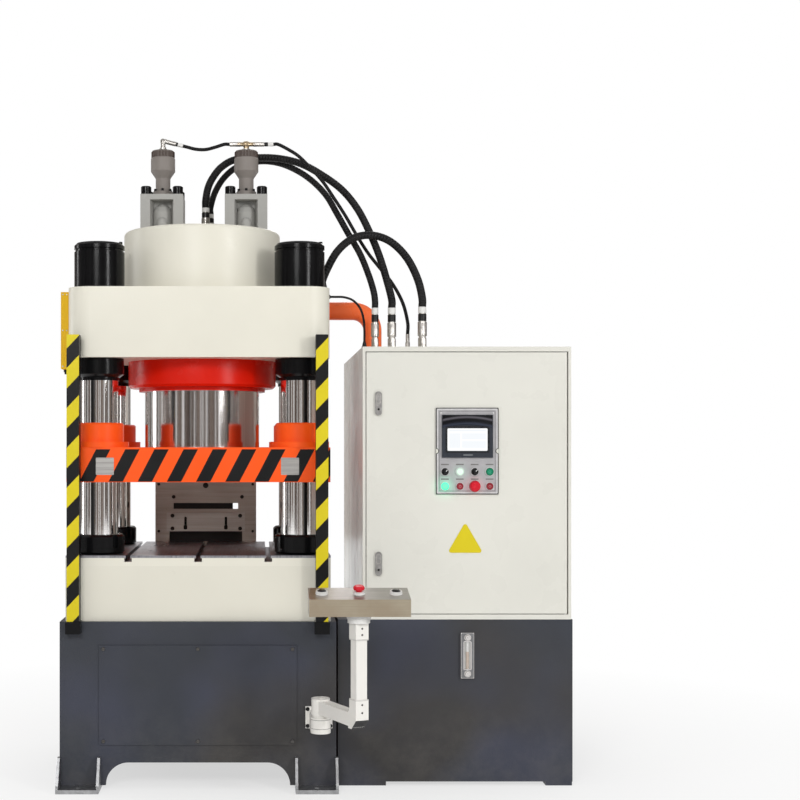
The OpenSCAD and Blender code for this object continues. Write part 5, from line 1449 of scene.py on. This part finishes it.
class PRESS_OT_panel_trim(Operator):
    """Frames the control panel and screen and rings the controls"""

    bl_idname = "press.panel_trim"
    bl_label = "Control panel trim"

    def execute(self, context):
        mid, low, high = middle("control_panel_frame")
        w, _, h = high - low
        ring_front = low[1]
        front = ring_front + 0.005
        bright = plastic("panel_edge", (0.62, 0.61, 0.61), 0.28)
        frame_panel(mid, front, w, h, bright)
        dress_screen()
        ring_controls(front, ring_front, bright)
        mark_controls()
        notch_panel(mid, front, w)
        return {"FINISHED"}


class PRESS_OT_gauge(Operator):
    """Fits the glass tube, the back plate and the hollow screws of the oil level gauge"""

    bl_idname = "press.gauge"
    bl_label = "Level gauge"

    def execute(self, context):
        (x, _, z), _, high = middle("level_gauge")
        face = high[1] - 0.014
        tube = rod_part(0.0062, -0.051, 0.051, 32)
        piece("gauge_glass", [placed(tube, (x, face + 0.0055, z))], gauge_glass("gauge_glass"))
        back = on_front((x, face, z), plate_part(0.0245, 0.1025, 0.002, -0.0059, -0.0054))
        piece("gauge_back", back, plastic("gauge_back", (0.50, 0.50, 0.48), 0.5))
        inner = rounded_outline(0.031, 0.110, 0.004)
        cover = on_front((x, face, z), rim_part(rounded_outline(0.0475, 0.1715, 0.004), inner, 0.0, 0.0011))
        piece("gauge_cover", cover, plastic("gauge_cover", (0.20, 0.20, 0.205), 0.30), bevel=0.0004)
        nut, screw = hexagon_part(0.0125, 0.0005, 0.0060, 0.0012), dome_part(0.0082, 0.005, 0.0092, 28)
        nuts = [part for side in SIDES for part in on_front((x, face, z + side * 0.069), nut, screw)]
        piece("gauge_screws", nuts, nickel())
        return {"FINISHED"}


# ---- Two-hand console ----------------------------------------------------------------------------

CONSOLE_HEIGHTS = (0.060, 0.088)  # the box's front and back walls
PALM_REACH = 0.130  # from the middle of the box to each palm button


class PRESS_OT_console_trim(Operator):
    """Puts the white rings, the arm's plugs and screws, and the bracket's screws on the two-hand console"""

    bl_idname = "press.console_trim"
    bl_label = "Console trim"

    def execute(self, context):
        mid, low, high = middle("console_box")
        x, y, foot = mid[0], mid[1], low[2] + 0.028
        front_h, back_h = CONSOLE_HEIGHTS
        slope = math.atan((back_h - front_h) / (high[1] - low[1]))
        out = (0.0, -math.sin(slope), math.cos(slope))
        top = foot + (front_h + back_h) / 2
        rings = []
        palm, stop = (0.0163, 0.0216, 0.0104), (0.0114, 0.0206, 0.0084)
        for dx, (inner, outer, h) in ((-PALM_REACH, palm), (PALM_REACH, palm), (0.0, stop)):
            step = collar_part(outer, outer + 0.0012, 0.0, 0.0016)
            rings += aimed((x + dx, y, top), out, collar_part(inner, outer, 0.0, h, 0.0012), step)
        neck = (
            collar_part(0.036, 0.0396, -0.0278, -0.012, 0.001, 56),
            collar_part(0.036, 0.0425, -0.012, -0.0003, 0.0012, 56),
        )
        rings += [placed(part, (x, y, foot)) for part in neck]
        piece("console_rings", rings, trim_white(), "console")
        gloss = plastic("palm_gloss", (0.012, 0.014, 0.013), 0.2, 0.0, shine=0.5)
        cap = lathe_part([(0.0120, 0.0138), (0.0110, 0.0146), (0.0, 0.0150)], 40)
        for dx, body in ((-PALM_REACH, "left_palm"), (PALM_REACH, "right_palm")):
            piece(body + "_cap", aimed((x + dx, y, top), out, cap), gloss, body)
        self.dress_arm(x, y)
        return {"FINISHED"}

    def dress_arm(self, x, y):
        """Trims the arm between the bracket's axis and the riser's axis at (x, y), along its own turn."""
        mid, low, high = middle("console_bracket")
        pivot_x, pivot_y = mid[0], low[1] + 0.037
        turn = math.atan2(x - pivot_x, pivot_y - y)
        half = 0.025

        def at_elbow(*parts):
            return [placed(part, (x, y, 0), "Z", turn) for part in parts]

        # Plug over the heel, with three slots, square to a slope of 45 degrees
        d = math.sqrt(0.5)
        heel = np.array([0, -0.008, 0.329])
        plug = aimed(heel, (0, -d, -d), plate_part(0.0494, 0.0476, 0.003, 0.0, 0.0018))
        slot = plate_part(0.030, 0.003, 0.0012, 0.0018, 0.0024, 3)
        for k in (-1, 0, 1):
            plug += aimed(heel + k * 0.008 * np.array([0, d, -d]), (0, -d, -d), slot)
        piece("elbow_plug", at_elbow(*plug), trim_black(), "arm", bevel=0.0005)
        for name, levels in (("riser_screws", (0.6660, 0.6440)), ("elbow_screws", (0.4000, 0.3720))):
            heads = []
            for z, (place, axis) in product(levels, (((0, -half), "-Y"), ((half, 0), "X"))):
                heads.append(placed(dome_part(0.0036, 0.0, 0.0018, 20), (*place, z), axis))
            piece(name, at_elbow(*heads), dark_screw(), "arm")
        lip_levels = (0.6245, 0.4135)
        frames = [frame_part(0.0514, 0.0514, 0.003, 0.00445, 0.002, z, z + 0.004) for z in lip_levels]
        lips = at_elbow(*frames)
        hub = (collar_part(0.030, 0.0348, 0.0025, 0.0045, sides=56), dome_part(0.0118, 0.003, 0.0085))
        lips += [placed(part, (pivot_x, pivot_y, high[2])) for part in hub]
        piece("arm_lips", lips, plastic("arm_lip", (0.70, 0.68, 0.65), 0.35), "arm")

        # Bracket: socket screws in the counterbores and grooves round the housing
        head = (
            collar_part(0.0022, 0.0047, -0.004, 0.0006, 0.0006, 24),
            rod_part(0.0024, -0.004, -0.002, 6),
            collar_part(0.0048, 0.0078, 0.0, 0.0012, 0.0005, 24),
        )
        bolts = []
        for dx, dz in product((-0.043, 0.043), (-0.032, 0.032)):
            bolts += on_front((pivot_x + dx, high[1] - 0.010, low[2] + 0.041 + dz), *head)
        piece("bracket_bolts", bolts, trim_black())
        # The grooves are grey rings whose tone is painted shade
        groove = collar_part(0.0365, 0.0373, 0.0, 0.0022, 0.0004, 64)
        grooves = [placed(groove, (pivot_x, pivot_y, low[2] + h)) for h in (0.029, 0.0615)]
        piece("bracket_grooves", grooves, plastic("arm_shadow", (0.34, 0.33, 0.31), 0.4))


# ---- Cabinet side --------------------------------------------------------------------------------


class PRESS_OT_cabinet_vents(Operator):
    """Fixes a screwed cover with two banks of louvres on the cabinet's right side"""

    bl_idname = "press.cabinet_vents"
    bl_label = "Cabinet vents"

    def execute(self, context):
        mid, low, high = middle("cabinet_shell")
        wall = high[0]
        length, height, depth, pitch = 0.150, 0.015, 0.0042, 0.026
        hood = [(0.0, -0.50 * height), (depth, 0.28 * height), (depth, 0.42 * height), (0.0, 0.42 * height)]
        # Thin black slabs under the hoods paint the shade inside the louvre openings
        shade_size = (0.0003, 0.96 * length, 0.26 * height)
        hoods, louvre_shades = [], []
        for bank, row, side in product((low[2] + 0.17, high[2] - 0.21), range(-3, 4), SIDES):
            y, z = mid[1] + side * 0.088, bank + row * pitch
            hoods.append(placed(prism_part(hood, y - length / 2, y + length / 2), (wall, 0.0, z), "Y"))
            corner = np.array([wall, y - shade_size[1] / 2, z - 0.68 * height])
            louvre_shades.append(slab_part(corner, corner + shade_size))
        piece("cabinet_louvres", hoods, bpy.data.materials["cabinet_enamel"], bevel=0.0008)
        piece("cabinet_louvre_shade", louvre_shades, trim_black())

        w, h = high[1] - low[1] - 0.10, high[2] - low[2] - 0.09
        joint = frame_part(w, h, 0.006, 0.0025, 0.0045, 0.0, 0.0004)
        piece("cabinet_cover_joint", [placed(joint, (wall, mid[1], mid[2]), "X")], trim_black())
        across, up = w / 2 - 0.03, h / 2 - 0.016
        places = product(np.linspace(mid[1] - across, mid[1] + across, 4), (mid[2] - up, mid[2] + up))
        screws = [placed(dome_part(0.005, 0.0, 0.0028, 20), (wall, *place), "X") for place in places]
        piece("cabinet_cover_screws", screws, nickel())
        return {"FINISHED"}


# ---- Slide, gate and side box --------------------------------------------------------------------


class PRESS_OT_small_parts(Operator):
    """Fixes the blank tags on the slide, the screws of the gate, and the cover and screws of the side box"""

    bl_idname = "press.small_parts"
    bl_label = "Tags and screws"

    def execute(self, context):
        _, low, _ = middle("slide")
        tags, rivets = [], []
        plate = plate_part(0.069, 0.066, 0.003, 0.0, 0.0010)
        edge = frame_part(0.063, 0.060, 0.002, 0.0015, 0.002, 0.0010, 0.0013)
        for x in (-0.3575, 0.3505):
            place = np.array([x, low[1], low[2] + 0.061])
            tags += on_front(place, plate, edge)
            for dx, dz in product((-0.0315, 0.0315), (-0.030, 0.030)):
                rivets += on_front(place + (dx, 0, dz), dome_part(0.0016, 0.0, 0.0018, 16))
        tones = (0.52, 0.51, 0.49), (0.30, 0.29, 0.28)
        aluminium = metal("tag_aluminium", *tones, (0.3, 0.45), (4, 4, 160), 0.00001)
        piece("slide_tags", tags, aluminium, "slide")
        piece("slide_tag_rivets", rivets, nickel(), "slide")
        self.dress_gate()
        self.dress_side_box()
        return {"FINISHED"}

    def dress_gate(self):
        """Screws on the gate's plate and shutter, and dark flaps clamped behind its openings, whose
        near-black paints the shade seen through them.
        """
        black = metal("gate_screw", (0.05, 0.045, 0.04), (0.02, 0.018, 0.016), (0.4, 0.6))
        _, gate_low, gate_high = middle("gate_frame")
        _, shutter_low, shutter_high = middle("gate_shutter")
        front, top = gate_high[1] - GATE_PLATE, gate_high[2]
        large, small = dome_part(0.0080, 0.0, 0.0040, 24), dome_part(0.0060, 0.0, 0.0030, 24)
        screws = []
        for x in (-0.140, 0.158):
            screws += on_front((x, front, top - 0.080), large)
        for x, z in product((-0.205, 0.205), (shutter_low[2], top - 0.025)):
            screws += on_front((x, front, z), small)
        knob = collar_part(0.004, 0.012, 0.0, 0.004), dome_part(0.007, 0.004, 0.009, 24)
        screws += on_front((0.0, front, top - 0.030), *knob)
        piece("gate_screws", screws, black)
        heads = []
        for x, z in product((-0.145, 0.150), (shutter_low[2] + 0.012, shutter_high[2] - 0.012)):
            heads += on_front((x, shutter_low[1], z), dome_part(0.0085, 0.0, 0.0045, 24))
        piece("shutter_screws", heads, black, "shutter")

        def behind(x0, x1, z0, z1, y0, y1):
            """A slab behind the plate, with heights measured down from the gate's top."""
            return slab_part((x0, gate_high[1] + y0, top - z0), (x1, gate_high[1] + y1, top - z1))

        margin = 0.055
        flaps = [
            behind(gate_low[0] + margin, gate_high[0] - margin, 0.288, 0.212, 0.0085, 0.0105),
            behind(-0.150, 0.118, 0.138, 0.098, 0.0085, 0.0105),
        ]
        piece("gate_flaps", flaps, plastic("flap_shade_black", (0.014, 0.013, 0.012), 0.6), bevel=0.0005)
        clamps = [
            behind(-0.165, 0.165, 0.214, 0.202, 0.0002, 0.0130),
            behind(-0.150, 0.150, 0.104, 0.092, 0.0002, 0.0130),
        ]
        piece("gate_flap_clamps", clamps, bpy.data.materials["shutter_steel"], bevel=0.0008)

    def dress_side_box(self):
        """A cover with six screws on the side box and a cable gland under it."""
        mid, low, high = middle("side_junction_box")
        w, _, h = high - low
        cover = on_front((mid[0], low[1], mid[2]), plate_part(w - 0.005, h - 0.005, 0.002, 0.0, 0.0012, 3))
        piece("side_box_cover", cover, bpy.data.materials["side_box_enamel"], bevel=0.0006)
        heads = []
        for dx, dz in product(SIDES, (-1, 0, 1)):
            place = (mid[0] + dx * (w / 2 - 0.008), low[1], mid[2] + dz * (h / 2 - 0.010))
            heads += on_front(place, dome_part(0.0028, 0.0012, 0.0030, 20))
        piece("side_box_screws", heads, nickel())
        gland = (
            collar_part(0.006, 0.0125, -0.010, -0.0002, 0.001, 32),
            collar_part(0.005, 0.0095, -0.018, -0.010, 0.001, 32),
        )
        piece("side_box_gland", [placed(part, (mid[0], mid[1], low[2])) for part in gland], trim_black())


# ---- Add-on --------------------------------------------------------------------------------------


OPERATORS = (
    PRESS_OT_stage, PRESS_OT_hoses, PRESS_OT_finishes, PRESS_OT_fittings, PRESS_OT_valves, PRESS_OT_door_trim,
    PRESS_OT_panel_trim, PRESS_OT_gauge, PRESS_OT_console_trim, PRESS_OT_cabinet_vents, PRESS_OT_small_parts,
)


class PRESS_PT_panel(Panel):
    """Sizes, colours and steps of the press"""

    bl_idname = "PRESS_PT_panel"
    bl_label = "Press"
    bl_space_type = "VIEW_3D"
    bl_region_type = "UI"
    bl_category = "Press"

    def draw(self, context):
        for group in settings():
            column = self.layout.column(align=True)
            for name in group.__annotations__:
                column.prop(group, name)
        for operator in OPERATORS:
            self.layout.operator(operator.bl_idname)


CLASSES = (PaintSettings, HoseSettings, StageSettings, *OPERATORS, PRESS_PT_panel)


def register():
    """Adds the classes and the scene's settings."""
    for item in CLASSES:
        bpy.utils.register_class(item)
    bpy.types.Scene.press_paints = PointerProperty(type=PaintSettings)
    bpy.types.Scene.press_hoses = PointerProperty(type=HoseSettings)
    bpy.types.Scene.press_stage = PointerProperty(type=StageSettings)


def unregister():
    """Takes away what register added."""
    del bpy.types.Scene.press_stage, bpy.types.Scene.press_hoses, bpy.types.Scene.press_paints
    for item in reversed(CLASSES):
        bpy.utils.unregister_class(item)


def main():
    """Runs every step in order."""
    register()
    for operator in OPERATORS:
        group, name = operator.bl_idname.split(".")
        getattr(getattr(bpy.ops, group), name)()


if __name__ == "__main__":
    main()
